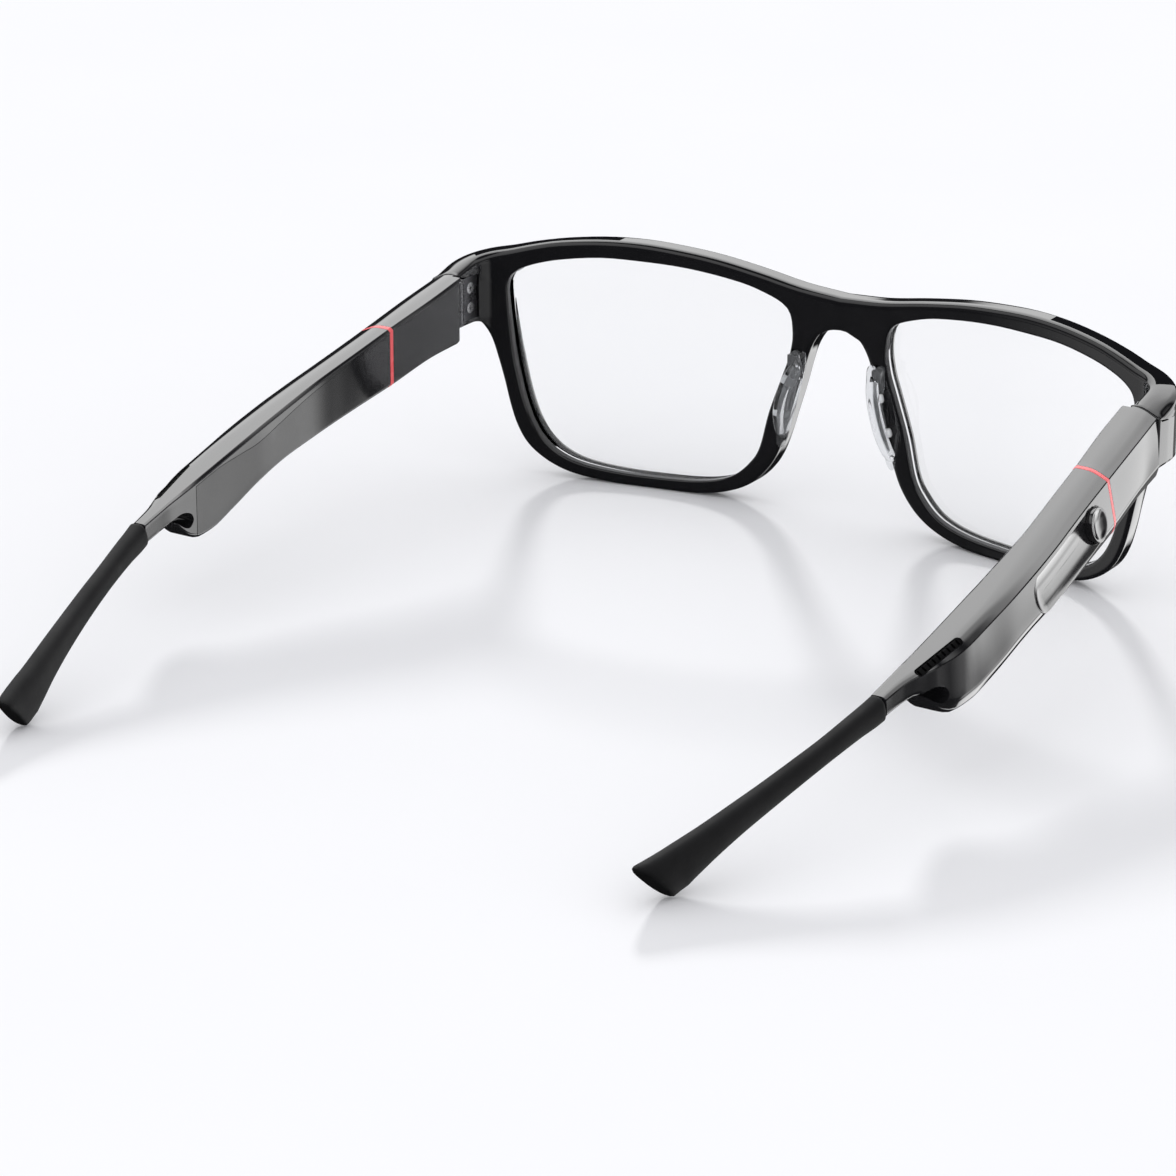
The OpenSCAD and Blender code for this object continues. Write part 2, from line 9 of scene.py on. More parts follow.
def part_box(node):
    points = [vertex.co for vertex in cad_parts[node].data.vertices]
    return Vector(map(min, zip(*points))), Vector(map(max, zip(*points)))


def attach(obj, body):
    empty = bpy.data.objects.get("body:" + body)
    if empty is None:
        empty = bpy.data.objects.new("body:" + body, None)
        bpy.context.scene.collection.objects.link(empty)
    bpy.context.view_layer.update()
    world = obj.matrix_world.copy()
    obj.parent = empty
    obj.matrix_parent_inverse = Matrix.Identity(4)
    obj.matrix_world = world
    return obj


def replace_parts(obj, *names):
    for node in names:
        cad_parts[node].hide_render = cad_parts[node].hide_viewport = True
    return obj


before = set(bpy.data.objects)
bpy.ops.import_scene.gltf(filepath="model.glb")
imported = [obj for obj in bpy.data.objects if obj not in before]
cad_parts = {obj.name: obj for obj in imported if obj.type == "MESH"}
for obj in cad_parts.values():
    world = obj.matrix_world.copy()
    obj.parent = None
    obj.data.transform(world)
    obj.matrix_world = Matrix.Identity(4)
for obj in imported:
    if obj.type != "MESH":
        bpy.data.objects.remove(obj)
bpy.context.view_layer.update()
MM = 0.001

# ---- datums from the CAD, in millimetres ----
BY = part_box("front_frame")[0].y / MM + 4.2  # the bridge's back face
_lo, _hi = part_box("hinge_pin_l")
HX, HY = (_lo.x + _hi.x) / 2 / MM, (_lo.y + _hi.y) / 2 / MM  # the left hinge axis
WRAP, DEPTH = 185.0, 4.2
SLOPE = math.tan(math.radians(13.06))


def roof(v):
    """Height of the temple's top v behind the hinge axis."""
    return 38.45 - SLOPE * v


# ---- curves ----
def smooth_line(points, n, closed=False):
    """Catmull-Rom curve through points with n steps a span."""
    p = np.array(points, float)
    m = len(p)
    t = (np.arange(n) / n)[:, None]
    out = []
    for i in range(m if closed else m - 1):
        if closed:
            a, b, c, d = p[i - 1], p[i], p[(i + 1) % m], p[(i + 2) % m]
        else:
            a, b, c, d = p[max(i - 1, 0)], p[i], p[i + 1], p[min(i + 2, m - 1)]
        out.append(0.5 * (2 * b + (c - a) * t + (2 * a - 5 * b + 4 * c - d) * t ** 2
                          + (3 * b - a - 3 * c + d) * t ** 3))
    out = np.concatenate(out)
    return out if closed else np.vstack([out, p[-1:]])


def pchip(xs, ys, x):
    """Monotone smooth interpolation of ys over xs at x."""
    xs, ys, x = np.array(xs, float), np.array(ys, float), np.atleast_1d(np.array(x, float))
    h, d = np.diff(xs), np.diff(ys) / np.diff(xs)
    m = np.zeros(len(xs))
    m[0], m[-1] = d[0], d[-1]
    for i in range(1, len(xs) - 1):
        if d[i - 1] * d[i] > 0:
            w1, w2 = 2 * h[i] + h[i - 1], h[i] + 2 * h[i - 1]
            m[i] = (w1 + w2) / (w1 / d[i - 1] + w2 / d[i])
    i = np.clip(np.searchsorted(xs, x) - 1, 0, len(h) - 1)
    t = (x - xs[i]) / h[i]
    inside = (2 * t ** 3 - 3 * t ** 2 + 1) * ys[i] + (t ** 3 - 2 * t ** 2 + t) * h[i] * m[i] \
        + (-2 * t ** 3 + 3 * t ** 2) * ys[i + 1] + (t ** 3 - t ** 2) * h[i] * m[i + 1]
    low, high = ys[0] + m[0] * (x - xs[0]), ys[-1] + m[-1] * (x - xs[-1])
    return np.where(x < xs[0], low, np.where(x > xs[-1], high, inside))


def along(line, shares):
    """Points at shares of a polyline's length."""
    line = np.array(line, float)
    s = np.concatenate([[0], np.cumsum(np.linalg.norm(np.diff(line, axis=0), axis=1))])
    q = np.array(shares) * s[-1]
    return np.stack([np.interp(q, s, line[:, k]) for k in range(line.shape[1])], 1)


# ---- meshes ----
def mesh_piece(name, verts, faces, side=1):
    """Mesh object from points in millimetres in the row frame; side -1 mirrors it."""
    v = np.array(verts, float) * MM
    if side < 0:
        v = v * [-1, 1, 1]
        faces = [list(f)[::-1] for f in faces]
    me = bpy.data.meshes.new(name)
    me.from_pydata([tuple(p) for p in v], [], [list(map(int, f)) for f in faces])
    me.validate()
    ob = bpy.data.objects.new(name, me)
    bpy.context.scene.collection.objects.link(ob)
    return ob


def tidy(ob, merge=0.000001):
    """Merges points nearer than merge metres and turns the faces outwards."""
    bm = bmesh.new()
    bm.from_mesh(ob.data)
    bmesh.ops.remove_doubles(bm, verts=bm.verts, dist=merge)
    bmesh.ops.dissolve_degenerate(bm, edges=bm.edges, dist=merge)
    bmesh.ops.recalc_face_normals(bm, faces=bm.faces)
    bm.to_mesh(ob.data)
    bm.free()


def rings_mesh(rings):
    """Verts and faces of a capped tube through rings of equal count."""
    r = np.array(rings, float)
    m, n = r.shape[:2]
    faces = []
    for i in range(m - 1):
        for k in range(n):
            j = (k + 1) % n
            faces.append([i * n + k, i * n + j, (i + 1) * n + j, (i + 1) * n + k])
    faces.append(list(range(n))[::-1])
    faces.append([(m - 1) * n + k for k in range(n)])
    return r.reshape(-1, 3), faces


def box_verts(lo, hi):
    (x0, y0, z0), (x1, y1, z1) = lo, hi
    v = [(x, y, z) for x in (x0, x1) for y in (y0, y1) for z in (z0, z1)]
    f = [[0, 1, 3, 2], [4, 6, 7, 5], [0, 4, 5, 1], [2, 3, 7, 6], [0, 2, 6, 4], [1, 5, 7, 3]]
    return np.array(v, float), f


def box_cutter(lo, hi, side):
    return mesh_piece("cutter", *box_verts(lo, hi), side)


def cut(ob, cutter, operation="DIFFERENCE"):
    """Applies a boolean to ob and deletes the cutter."""
    tidy(cutter)
    m = ob.modifiers.new("cut", "BOOLEAN")
    m.operation, m.object = operation, cutter
    for solver in ("MANIFOLD", "EXACT"):
        m.solver = solver
        dg = bpy.context.evaluated_depsgraph_get()
        me = bpy.data.meshes.new_from_object(ob.evaluated_get(dg))
        if len(me.polygons) > 0:
            break
    ob.modifiers.clear()
    ob.data = me
    bpy.data.objects.remove(cutter)


def drop_islands(bm, smallest=12):
    """Deletes groups of fewer than smallest faces that hang together over shared edges."""
    left, strays = set(bm.faces), []
    while left:
        island, edge = set(), [left.pop()]
        while edge:
            f = edge.pop()
            island.add(f)
            near = {g for e in f.edges if len(e.link_faces) == 2 for g in e.link_faces} & left
            left -= near
            edge += near
        if len(island) < smallest:
            strays += island
    bmesh.ops.delete(bm, geom=strays, context="FACES")


def drop_strays(ob, merge=0.000003):
    """Repairs a mesh that isn't closed: merges points, drops stray faces, fills small holes."""
    bm = bmesh.new()
    bm.from_mesh(ob.data)
    if not all(len(e.link_faces) == 2 for e in bm.edges):
        bmesh.ops.remove_doubles(bm, verts=bm.verts, dist=merge)
        bmesh.ops.dissolve_degenerate(bm, edges=bm.edges, dist=merge)
        drop_islands(bm)
        border = [e for e in bm.edges if len(e.link_faces) == 1]
        bmesh.ops.holes_fill(bm, edges=border, sides=16)
        drop_islands(bm)
        bm.to_mesh(ob.data)
    bm.free()


def finish_shading(ob, mat, angle, edge=0.0):
    """Material (None keeps it), shading crisp above angle, and a bevel edge mm wide."""
    if mat:
        dress(ob, mat)
    tidy(ob, 0.0000015)
    me = ob.data
    me.shade_smooth()
    bm = bmesh.new()
    bm.from_mesh(me)
    for e in bm.edges:
        e.smooth = not (len(e.link_faces) == 2 and e.calc_face_angle(0) > math.radians(angle))
    bm.to_mesh(me)
    bm.free()
    if edge:
        b = ob.modifiers.new("edge", "BEVEL")
        b.width, b.segments, b.limit_method = edge * MM, 2, "ANGLE"
        b.angle_limit = math.radians(48)
        b.miter_outer = "MITER_ARC"
        dg = bpy.context.evaluated_depsgraph_get()
        me = bpy.data.meshes.new_from_object(ob.evaluated_get(dg))
        ob.modifiers.clear()
        ob.data = me
    drop_strays(ob)
    w = ob.modifiers.new("normals", "WEIGHTED_NORMAL")
    w.keep_sharp = True
    w.weight = 60


# ---- materials ----
def new_material(name):
    """A material, its node tree and its Principled shader."""
    mat = bpy.data.materials.new(name)
    mat.use_nodes = True
    nt = mat.node_tree
    return mat, nt, nt.nodes["Principled BSDF"]


def node(nt, kind, **values):
    """New node with input sockets or properties set by name."""
    n = nt.nodes.new(kind)
    for k, v in values.items():
        if k in n.inputs:
            n.inputs[k].default_value = v
        else:
            setattr(n, k, v)
    return n


def noise(nt, **values):
    """Noise laid on the object."""
    n = node(nt, "ShaderNodeTexNoise", **values)
    nt.links.new(node(nt, "ShaderNodeTexCoord").outputs["Object"], n.inputs["Vector"])
    return n.outputs["Fac"]


def blend(nt, share, a, b):
    """Mix of two colours by share; a may be a socket."""
    mix = node(nt, "ShaderNodeMix", data_type="RGBA")
    if isinstance(a, tuple):
        mix.inputs["A"].default_value = (*a, 1)
    else:
        nt.links.new(a, mix.inputs["A"])
    mix.inputs["B"].default_value = (*b, 1)
    nt.links.new(share, mix.inputs["Factor"])
    return mix.outputs["Result"]


def finish_material(nt, p, shade, share, rough, fine, bump, distance, lo=0.0, hi=1.0):
    """Links colour, roughness (rough over lo to hi of share) and bump to the shader."""
    nt.links.new(shade, p.inputs["Base Color"])
    spread = node(nt, "ShaderNodeMapRange")
    for name, value in zip(("From Min", "From Max", "To Min", "To Max"), (lo, hi, *rough)):
        spread.inputs[name].default_value = value
    nt.links.new(share, spread.inputs["Value"])
    nt.links.new(spread.outputs["Result"], p.inputs["Roughness"])
    b = node(nt, "ShaderNodeBump", Strength=bump, Distance=distance)
    nt.links.new(fine, b.inputs["Height"])
    nt.links.new(b.outputs["Normal"], p.inputs["Normal"])


def surface(name, colour, colour2, rough, bump, bump_scale=900.0, wear=None, **fixed):
    """Principled material with colour and roughness that vary, a fine bump and worn edges."""
    mat, nt, p = new_material(name)
    grain = 260.0
    shade = blend(nt, noise(nt, Scale=grain, Detail=4.0, Roughness=0.6), colour, colour2)
    if wear:
        ramp = node(nt, "ShaderNodeValToRGB")
        e = ramp.color_ramp.elements
        e[0].position, e[1].position = 0.54, 0.66
        edge = node(nt, "ShaderNodeNewGeometry").outputs["Pointiness"]
        nt.links.new(edge, ramp.inputs["Fac"])
        shade = blend(nt, ramp.outputs["Color"], shade, wear)
    smudge = noise(nt, Scale=grain * 0.35, Detail=6.0, Roughness=0.65)
    fine = noise(nt, Scale=bump_scale, Detail=3.0)
    finish_material(nt, p, shade, smudge, rough, fine, bump, 0.00005, 0.3, 0.7)
    for k, v in fixed.items():
        p.inputs[k.replace("_", " ")].default_value = v
    return mat


def clear_material(name, tint, rough, ior, bump, clear=1.0):
    """Clear moulded plastic or silicone: transmission with a slightly uneven surface."""
    mat, nt, p = new_material(name)
    cloud = noise(nt, Scale=420.0, Detail=3.0)
    shade = blend(nt, cloud, tint, tuple(min(1.0, c * 1.03) for c in tint))
    finish_material(nt, p, shade, cloud, rough, cloud, bump, 0.00004)
    p.inputs["Transmission Weight"].default_value = clear
    p.inputs["IOR"].default_value = ior
    return mat


M = {}
M["gloss"] = surface("gloss_black", (0.006, 0.006, 0.007), (0.011, 0.011, 0.012), (0.03, 0.07),
                     bump=0.01, wear=(0.02, 0.02, 0.022), IOR=1.5)
# painted shade: a copy of the gloss black with no reflection at all, laid on part of the brow's
# top so it reads dark
M["brow"] = surface("brow_painted_shade_black", (0.005, 0.005, 0.006), (0.009, 0.009, 0.010), (0.05, 0.1),
                    bump=0.02, wear=(0.012, 0.012, 0.013), Specular_IOR_Level=0.0)
M["temple"] = surface("temple_black", (0.007, 0.007, 0.008), (0.012, 0.012, 0.013), (0.05, 0.1),
                      bump=0.012, wear=(0.02, 0.02, 0.022), IOR=1.62)
M["cover"] = surface("cover_black", (0.009, 0.009, 0.010), (0.014, 0.014, 0.015), (0.07, 0.13),
                     bump=0.03, wear=(0.024, 0.024, 0.026), IOR=1.5)
M["touch"] = surface("touch_black", (0.01, 0.01, 0.011), (0.016, 0.016, 0.017), (0.09, 0.15),
                     bump=0.012, IOR=1.7)
M["button"] = surface("button_black", (0.01, 0.01, 0.011), (0.015, 0.015, 0.016), (0.08, 0.13),
                      bump=0.02, IOR=1.7)
M["coral"] = surface("ring_coral", (0.78, 0.085, 0.10), (0.86, 0.12, 0.13), (0.25, 0.36),
                     bump=0.04, wear=(0.9, 0.25, 0.25), IOR=1.5)
M["rubber"] = surface("tip_rubber", (0.003, 0.003, 0.0035), (0.007, 0.007, 0.008), (0.62, 0.75),
                      bump=0.35, bump_scale=2600, wear=(0.012, 0.012, 0.012),
                      Specular_IOR_Level=0.2)
M["steel"] = surface("hinge_steel", (0.07, 0.07, 0.075), (0.11, 0.11, 0.115), (0.22, 0.34),
                     bump=0.02, bump_scale=1800, wear=(0.16, 0.16, 0.165), Metallic=1.0)
M["screw"] = surface("screw_steel", (0.5, 0.5, 0.51), (0.62, 0.62, 0.63), (0.16, 0.26),
                     bump=0.06, bump_scale=2200, wear=(0.75, 0.75, 0.75), Metallic=1.0)
M["gold"] = surface("plug_gold", (0.68, 0.46, 0.18), (0.8, 0.58, 0.26), (0.18, 0.3),
                    bump=0.05, wear=(0.9, 0.75, 0.45), Metallic=1.0)
M["board"] = surface("board_green", (0.01, 0.09, 0.045), (0.02, 0.14, 0.07), (0.35, 0.5), bump=0.1)
M["case"] = surface("battery_case", (0.5, 0.51, 0.53), (0.6, 0.61, 0.63), (0.25, 0.4),
                    bump=0.08, Metallic=1.0)
M["inner"] = surface("inner_black", (0.02, 0.02, 0.022), (0.035, 0.035, 0.037), (0.4, 0.55),
                     bump=0.1)
# the grille's own dark colour, made nearly black and nearly unreflective so the vent slots read
# black: partly its real colour, partly painted shade
M["mesh"] = surface("mesh_black", (0.002, 0.002, 0.002), (0.004, 0.004, 0.0045), (0.5, 0.65),
                    bump=0.1, wear=(0.006, 0.006, 0.006), Specular_IOR_Level=0.03)
M["flex"] = surface("flex_amber", (0.3, 0.11, 0.015), (0.4, 0.17, 0.03), (0.2, 0.3), bump=0.03)
M["boss"] = surface("pad_boss_white", (0.8, 0.81, 0.82), (0.9, 0.9, 0.91), (0.1, 0.2),
                    bump=0.02, wear=(0.95, 0.95, 0.95))
M["lens"] = clear_material("lens_clear", (0.985, 0.99, 0.99), (0.0, 0.002), 1.5, 0.0004)
M["pad"] = clear_material("pad_silicone", (0.8, 0.81, 0.82), (0.04, 0.12), 1.41, 0.05)
M["carrier"] = clear_material("carrier_clear", (0.3, 0.305, 0.31), (0.02, 0.08), 1.52, 0.03, 0.7)


def dress(ob, *mats):
    ob.data.materials.clear()
    for m in mats:
        ob.data.materials.append(M[m])


# ---- the front ----
# the lens opening as shares of its width and height
OPEN = [[0, 0.775], [0.023, 0.883], [0.13, 0.944], [0.246, 0.974], [0.4, 0.995],
        [0.554, 1], [0.688, 0.997], [0.823, 0.972], [0.912, 0.941], [0.967, 0.906],
        [0.996, 0.86], [1, 0.78], [0.981, 0.538], [0.962, 0.398], [0.944, 0.298],
        [0.919, 0.204], [0.885, 0.128], [0.833, 0.066], [0.754, 0.024], [0.63, 0.003],
        [0.506, 0], [0.371, 0.008], [0.275, 0.03], [0.205, 0.07], [0.15, 0.14],
        [0.115, 0.22], [0.083, 0.388], [0.038, 0.559], [0.01, 0.668]]
# the brow, the rim's underside and the nose cut-out in x and z
BROW = [[0, 40.1], [8, 40.7], [15.9, 42.1], [24, 43.4], [31, 44.1], [38, 44.5],
        [45, 44.3], [52, 43.5], [58, 42.4], [63, 41.2], [72, 39.8]]
UNDER = [[64.6, 27.5], [63.7, 25], [62.8, 21.4], [61.8, 17.4], [60.8, 12.9], [59.6, 9.0],
         [57.8, 5.8], [55, 3.3], [51.5, 1.5], [47.5, 0.55], [42, 0]]
NASAL = [[31, 0], [27, 0.2], [23, 0.9], [19.5, 2.1], [16.6, 3.8], [14.3, 6], [12.4, 8.8],
         [10.9, 12.5], [9.4, 17.5], [7.9, 22.5], [6.7, 27], [5.6, 30.3], [4, 32.8],
         [2, 33.9], [0, 34.2]]
ENDPIECE_LOW = 28.4
# edge radius of the back and the front for each kind of outline row
EDGE_R = {0: (1.15, 0.9), 1: (0.3, 0.3), 2: (0.6, 0.6), 3: (0.75, 0.75), 9: (0.0, 0.0)}
LIP_ARC, RIM_ARC = [[(math.sin(math.radians(a)), math.cos(math.radians(a))) for a in turn]
                    for turn in ((0, 30, 60, 90), (0, 18, 36, 54, 72, 90))]
PAINTED_SHADE_ZONE = (41.6, 66.4)  # painted shade, not a real facet: the brow's outer top faces take the unreflective black so they read dark; from this x to this parameter p


def opening(grow, n):
    """The lens opening in x and z, larger by grow all round."""
    w, h = 52 + 2 * grow, 39.2 + 2 * grow
    return smooth_line([[9.2 - grow + a * w, 2.1 - grow + b * h] for a, b in OPEN], n, True)


def arc_path(r, corner, side_x, y_end):
    """Plan path of a wrap surface from x 60 round the corner to the endpiece's end."""
    cx = side_x - corner
    cy = WRAP - math.sqrt((r - corner) ** 2 - cx * cx)
    a0 = math.atan2(cx, WRAP - cy)
    a60 = math.asin(60 / r)
    pts = [[r * math.sin(a), WRAP - r * math.cos(a)] for a in np.linspace(a60, a0, 8)]
    pts += [[cx + corner * math.sin(a), cy - corner * math.cos(a)]
            for a in np.linspace(a0, math.pi / 2, 26)[1:]]
    return np.array(pts + [[side_x, y_end]])


Y_END = HY - BY - 0.05
PATH_IN = arc_path(WRAP, 4.5, 65.2, Y_END)
PATH_OUT = arc_path(WRAP + DEPTH, 9.0, 70.5, Y_END)
SPAN = 14.0
P_END = 60 + SPAN


def plan(p, out):
    """Plan position of parameter p on the back (out 0) or front (out 1) surface."""
    p = np.atleast_1d(np.array(p, float))
    r = WRAP + (DEPTH if out else 0)
    path = PATH_OUT if out else PATH_IN
    x = np.minimum(p, 60)
    flat = np.stack([x, WRAP - np.sqrt(r * r - x * x)], 1)
    bent = along(path, np.clip((p - 60) / SPAN, 0, 1))
    return np.where((p > 60)[:, None], bent, flat)


def p_of_x(x, out):
    """The parameter at which the surface reaches x."""
    if x <= 60:
        return x
    ps = np.linspace(60, P_END, 400)
    return float(np.interp(x, plan(ps, out)[:, 0], ps))


def brow_z(x, y):
    """Height of the front's top at a plan point: the brow curve or the endpiece's roof."""
    line = smooth_line(BROW, 6)
    z = np.interp(x, line[:, 0], line[:, 1])
    r = roof(y - (HY - BY)) + 0.02
    k = 0.3  # soft minimum
    low = -k * math.log(math.exp(-z / k) + math.exp(-r / k))
    w = min(max((y - 7.5) / 6, 0), 1)
    w = w * w * (3 - 2 * w)
    return float(z * (1 - w) + low * w)


def front_outline():
    """Outer edge of one half as rows: p_in, z_in, p_out, z_out, normal (2 values), kind.

    Kinds: 0 top, 1 endpiece's end, 2 its lower edge, 3 rim and nose arch, 9 middle plane.
    """
    rows = []

    def top(pi, po, kind, n=(0, 1)):
        rows.append([pi, brow_z(*plan(pi, 0)[0]), po, brow_z(*plan(po, 1)[0]), *n, kind])

    for x in np.concatenate([np.linspace(0, 58, 30), np.linspace(60, P_END - 0.7, 22)]):
        top(x, x, 0)
    # the endpiece's end face
    zi, zo = brow_z(*plan(P_END, 0)[0]), brow_z(*plan(P_END, 1)[0])
    for k in range(4):
        a = math.radians(15 + 20 * k)
        p = P_END - 0.3 + 0.3 * math.sin(a)
        top(p, p, 1, (math.sin(a), math.cos(a)))
        rows[-1][1] -= 0.3 * (1 - math.cos(a))
        rows[-1][3] -= 0.3 * (1 - math.cos(a))
    for s in np.linspace(0, 1, 6):
        z = lambda z1: z1 - 0.5 + s * (ENDPIECE_LOW + 0.35 - z1 + 0.5)
        rows.append([P_END, z(zi), P_END, z(zo), 1, 0, 1])
    for k in range(4):
        a = math.radians(15 + 20 * k)
        corner = [P_END - 0.3 + 0.3 * math.cos(a), ENDPIECE_LOW + 0.3 - 0.3 * math.sin(a)]
        rows.append(corner * 2 + [math.cos(a), -math.sin(a), 1])
    for p in np.linspace(P_END - 0.6, 67.5, 8):
        rows.append([p, ENDPIECE_LOW, p, ENDPIECE_LOW, 0, -1, 2])
    # sweep from the endpiece's lower edge down the rim
    pi, po = p_of_x(64.6, 0), p_of_x(64.6, 1)
    for s in np.linspace(0.2, 0.8, 4):
        q = lambda end: (1 - s) ** 2 * 67.5 + 2 * s * (1 - s) * (end + 0.4) + s * s * end
        z = (1 - s) ** 2 * ENDPIECE_LOW + 2 * s * (1 - s) * ENDPIECE_LOW + s * s * 27.5
        rows.append([q(pi), z, q(po), z, 0.5 + 0.4 * s, -0.8 + 0.5 * s, 2])
    for part in (smooth_line(UNDER, 4), smooth_line(NASAL, 4)):
        d = np.gradient(part, axis=0)
        for (x, z), (dx, dz) in zip(part, d):
            n = np.array([-dz, dx]) / math.hypot(dx, dz)
            rows.append([p_of_x(x, 0), z, p_of_x(x, 1), z, *n, 3])
    rows[-1][4:6] = [0, -1]
    return np.array([[float(c) for c in r] for r in rows])


def front_half():
    """One half of the front as verts and faces: a section swept round the lens opening."""
    inner = opening(0, 12)
    outer = front_outline()
    # keys: an index in OPEN and the outer row matched to it
    outer_xz = outer[:, [0, 1]]
    find = lambda p, z: int(np.argmin(((outer_xz - [p, z]) ** 2).sum(1)))
    last = len(outer) - 1
    keys = [(1.2, 0), (3.0, find(20, 43)), (6.0, find(41, 44.5)), (9.0, find(60, 41.9)),
            (10.6, find(P_END, 38.6)), (11.35, find(P_END, 29)), (11.75, find(64.7, 27.4)),
            (13.0, find(62.6, 19)), (16.0, find(58.6, 7)), (18.6, find(49.5, 0.9)),
            (20.2, find(42, 0)), (20.6, find(31, 0)), (23.0, find(20, 1.9)),
            (25.5, find(12.4, 9)), (27.5, find(7.9, 22.5)), (28.7, last)]
    rows = []
    for (a0, b0), (a1, b1) in zip(keys[:-1], keys[1:]):
        n = max(b1 - b0, 1)
        # stations follow the outer rows, so its corners stay crisp
        s = np.concatenate([[0], np.cumsum(np.maximum(np.linalg.norm(
            np.diff(outer_xz[b0:b1 + 1], axis=0), axis=1), 0.02))])
        s = s / s[-1]
        for k in range(n):
            rows.append((a0 + (a1 - a0) * (0.5 * s[k] + 0.5 * k / n), outer[b0 + k]))
    rows.append((28.7, outer[last]))
    # stations on the middle plane, from the nose arch up to the brow
    mids = np.linspace(35.3, 38.4, 5)
    for k, z in enumerate(mids):
        rows.append((28.7 + (1.2 + 29 - 28.7) * (k + 1) / (len(mids) + 1),
                     np.array([0, z, 0, z, -1, 0, 9.0])))
    idx = np.array([r[0] for r in rows])
    m = len(inner)
    pick = (idx * 12) % m
    i0 = np.floor(pick).astype(int)
    f = (pick - i0)[:, None]
    a = inner[i0 % m] * (1 - f) + inner[(i0 + 1) % m] * f
    tangent = np.roll(inner, -1, 0) - np.roll(inner, 1, 0)
    ta = tangent[i0 % m] * (1 - f) + tangent[(i0 + 1) % m] * f
    na = np.stack([-ta[:, 1], ta[:, 0]], 1) / np.linalg.norm(ta, axis=1)[:, None]
    rings = []
    for i, (_, row) in enumerate(rows):
        kind = row[6]
        bi, bo, nb = row[0:2], row[2:4], row[4:6]
        nb = nb / np.linalg.norm(nb)
        back_r, front_r = EDGE_R[int(kind)]

        def outer_at(t, inset):
            return bi + (bo - bi) * t - nb * inset

        def inner_at(inset):
            return a[i] + na[i] * inset

        def lip(sn, cs):
            """Inset from the opening and depth on the rounded edge of the lens opening."""
            return inner_at(r_in * (1 - sn)), r_in * (1 - cs) / DEPTH

        # ((p, z), t) round the section, t from back to front; first the back face
        r_in = 0.4
        pts = [lip(*turn) for turn in LIP_ARC[::-1]]
        face_a, face_b = inner_at(r_in), outer_at(0, back_r)
        for s in np.linspace(0, 1, 8)[1:-1]:
            pts.append((face_a + (face_b - face_a) * s, 0))
        for sn, cs in RIM_ARC:
            t = back_r * (1 - cs) / DEPTH
            pts.append((outer_at(t, back_r * (1 - sn)), t))
        t0, t1 = back_r / DEPTH, 1 - front_r / DEPTH
        for t in np.linspace(t0, t1, 6)[1:-1]:
            pts.append((outer_at(t, 0), t))
        for sn, cs in RIM_ARC:
            t = 1 - front_r * (1 - sn) / DEPTH
            pts.append((outer_at(t, front_r * (1 - cs)), t))
        face_a, face_b = inner_at(r_in), outer_at(1, front_r)
        for s in np.linspace(0, 1, 8)[1:-1]:
            pts.append((face_b + (face_a - face_b) * s, 1))
        for turn in LIP_ARC:
            at, t = lip(*turn)
            pts.append((at, 1 - t))
        # inner wall with the lens groove
        for t, g in ((3.5, 0), (3.26, 0.42), (1.58, 0.42), (1.34, 0)):
            pts.append((inner_at(g), t / DEPTH))
        q = np.array([p[0] for p in pts])
        t = np.array([p[1] for p in pts])
        lo_xy, hi_xy = plan(q[:, 0], 0), plan(q[:, 0], 1)
        xy = lo_xy + (hi_xy - lo_xy) * t[:, None]
        # the temple's outer bevel starts on the corner
        w = np.clip((q[:, 0] - 62) / (P_END - 62), 0, 1)
        drop = 1.5 * w * w * (3 - 2 * w) * np.clip((t - 0.36) / 0.64, 0, 1) ** 1.2
        high = np.clip((q[:, 1] - 33) / 4, 0, 1)
        rings.append(np.column_stack([xy[:, 0], xy[:, 1] + BY, q[:, 1] - drop * high]))
    rings = np.array(rings)
    rings[..., 2] = np.maximum(rings[..., 2], 0.0)
    m, n = rings.shape[:2]
    faces, tags = [], []
    for i in range(m):
        j = (i + 1) % m
        for k in range(n):
            l = (k + 1) % n
            f = [i * n + k, j * n + k, j * n + l, i * n + l]
            quad = [rings[i][k], rings[j][k], rings[j][l], rings[i][l]]
            if all(abs(p[0]) < 1e-4 for p in quad):
                continue
            faces.append(f)
            mx = np.mean([p[0] for p in quad])
            p, kind = rows[i][1][0], rows[i][1][6]
            # painted shade: these brow top faces take the unreflective black; there is no real
            # facet here
            painted_shade = kind == 0 and 15 <= k <= 24 and PAINTED_SHADE_ZONE[0] < mx and p < PAINTED_SHADE_ZONE[1]
            tags.append(1 if painted_shade else 0)
    return rings.reshape(-1, 3), faces, tags


def build_front():
    """The front, mirrored about x 0, with room for the hinges and the pad tabs."""
    v, f, tags = front_half()
    n = len(v)
    verts = np.vstack([v, v * [-1, 1, 1]])
    faces = f + [[i + n for i in g][::-1] for g in f]
    ob = mesh_piece("front_shell", verts, faces)
    # the second material is the brow's painted shade
    dress(ob, "gloss", "brow")
    if len(ob.data.polygons) == len(faces):
        ob.data.polygons.foreach_set("material_index", tags + tags)
    tidy(ob, 0.000004)
    for s in (1, -1):
        knuckle = ((HX - 3, HY - 1.1, 20), (HX + 1.85, HY + 1.9, 37.75))
        leaf = ((65.2 - 1, HY - 6.65, 29.35), (65.2 + 1.05, HY + 0.35, 37.25))
        pad_tab = ((7.35, BY - 0.5, 24.5), (9.25, BY + 1.4, 29.6))
        for lo, hi in (knuckle, leaf, pad_tab):
            cut(ob, box_cutter(lo, hi, s))
    finish_shading(ob, None, 40)
    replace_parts(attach(ob, "front"), "front_frame")


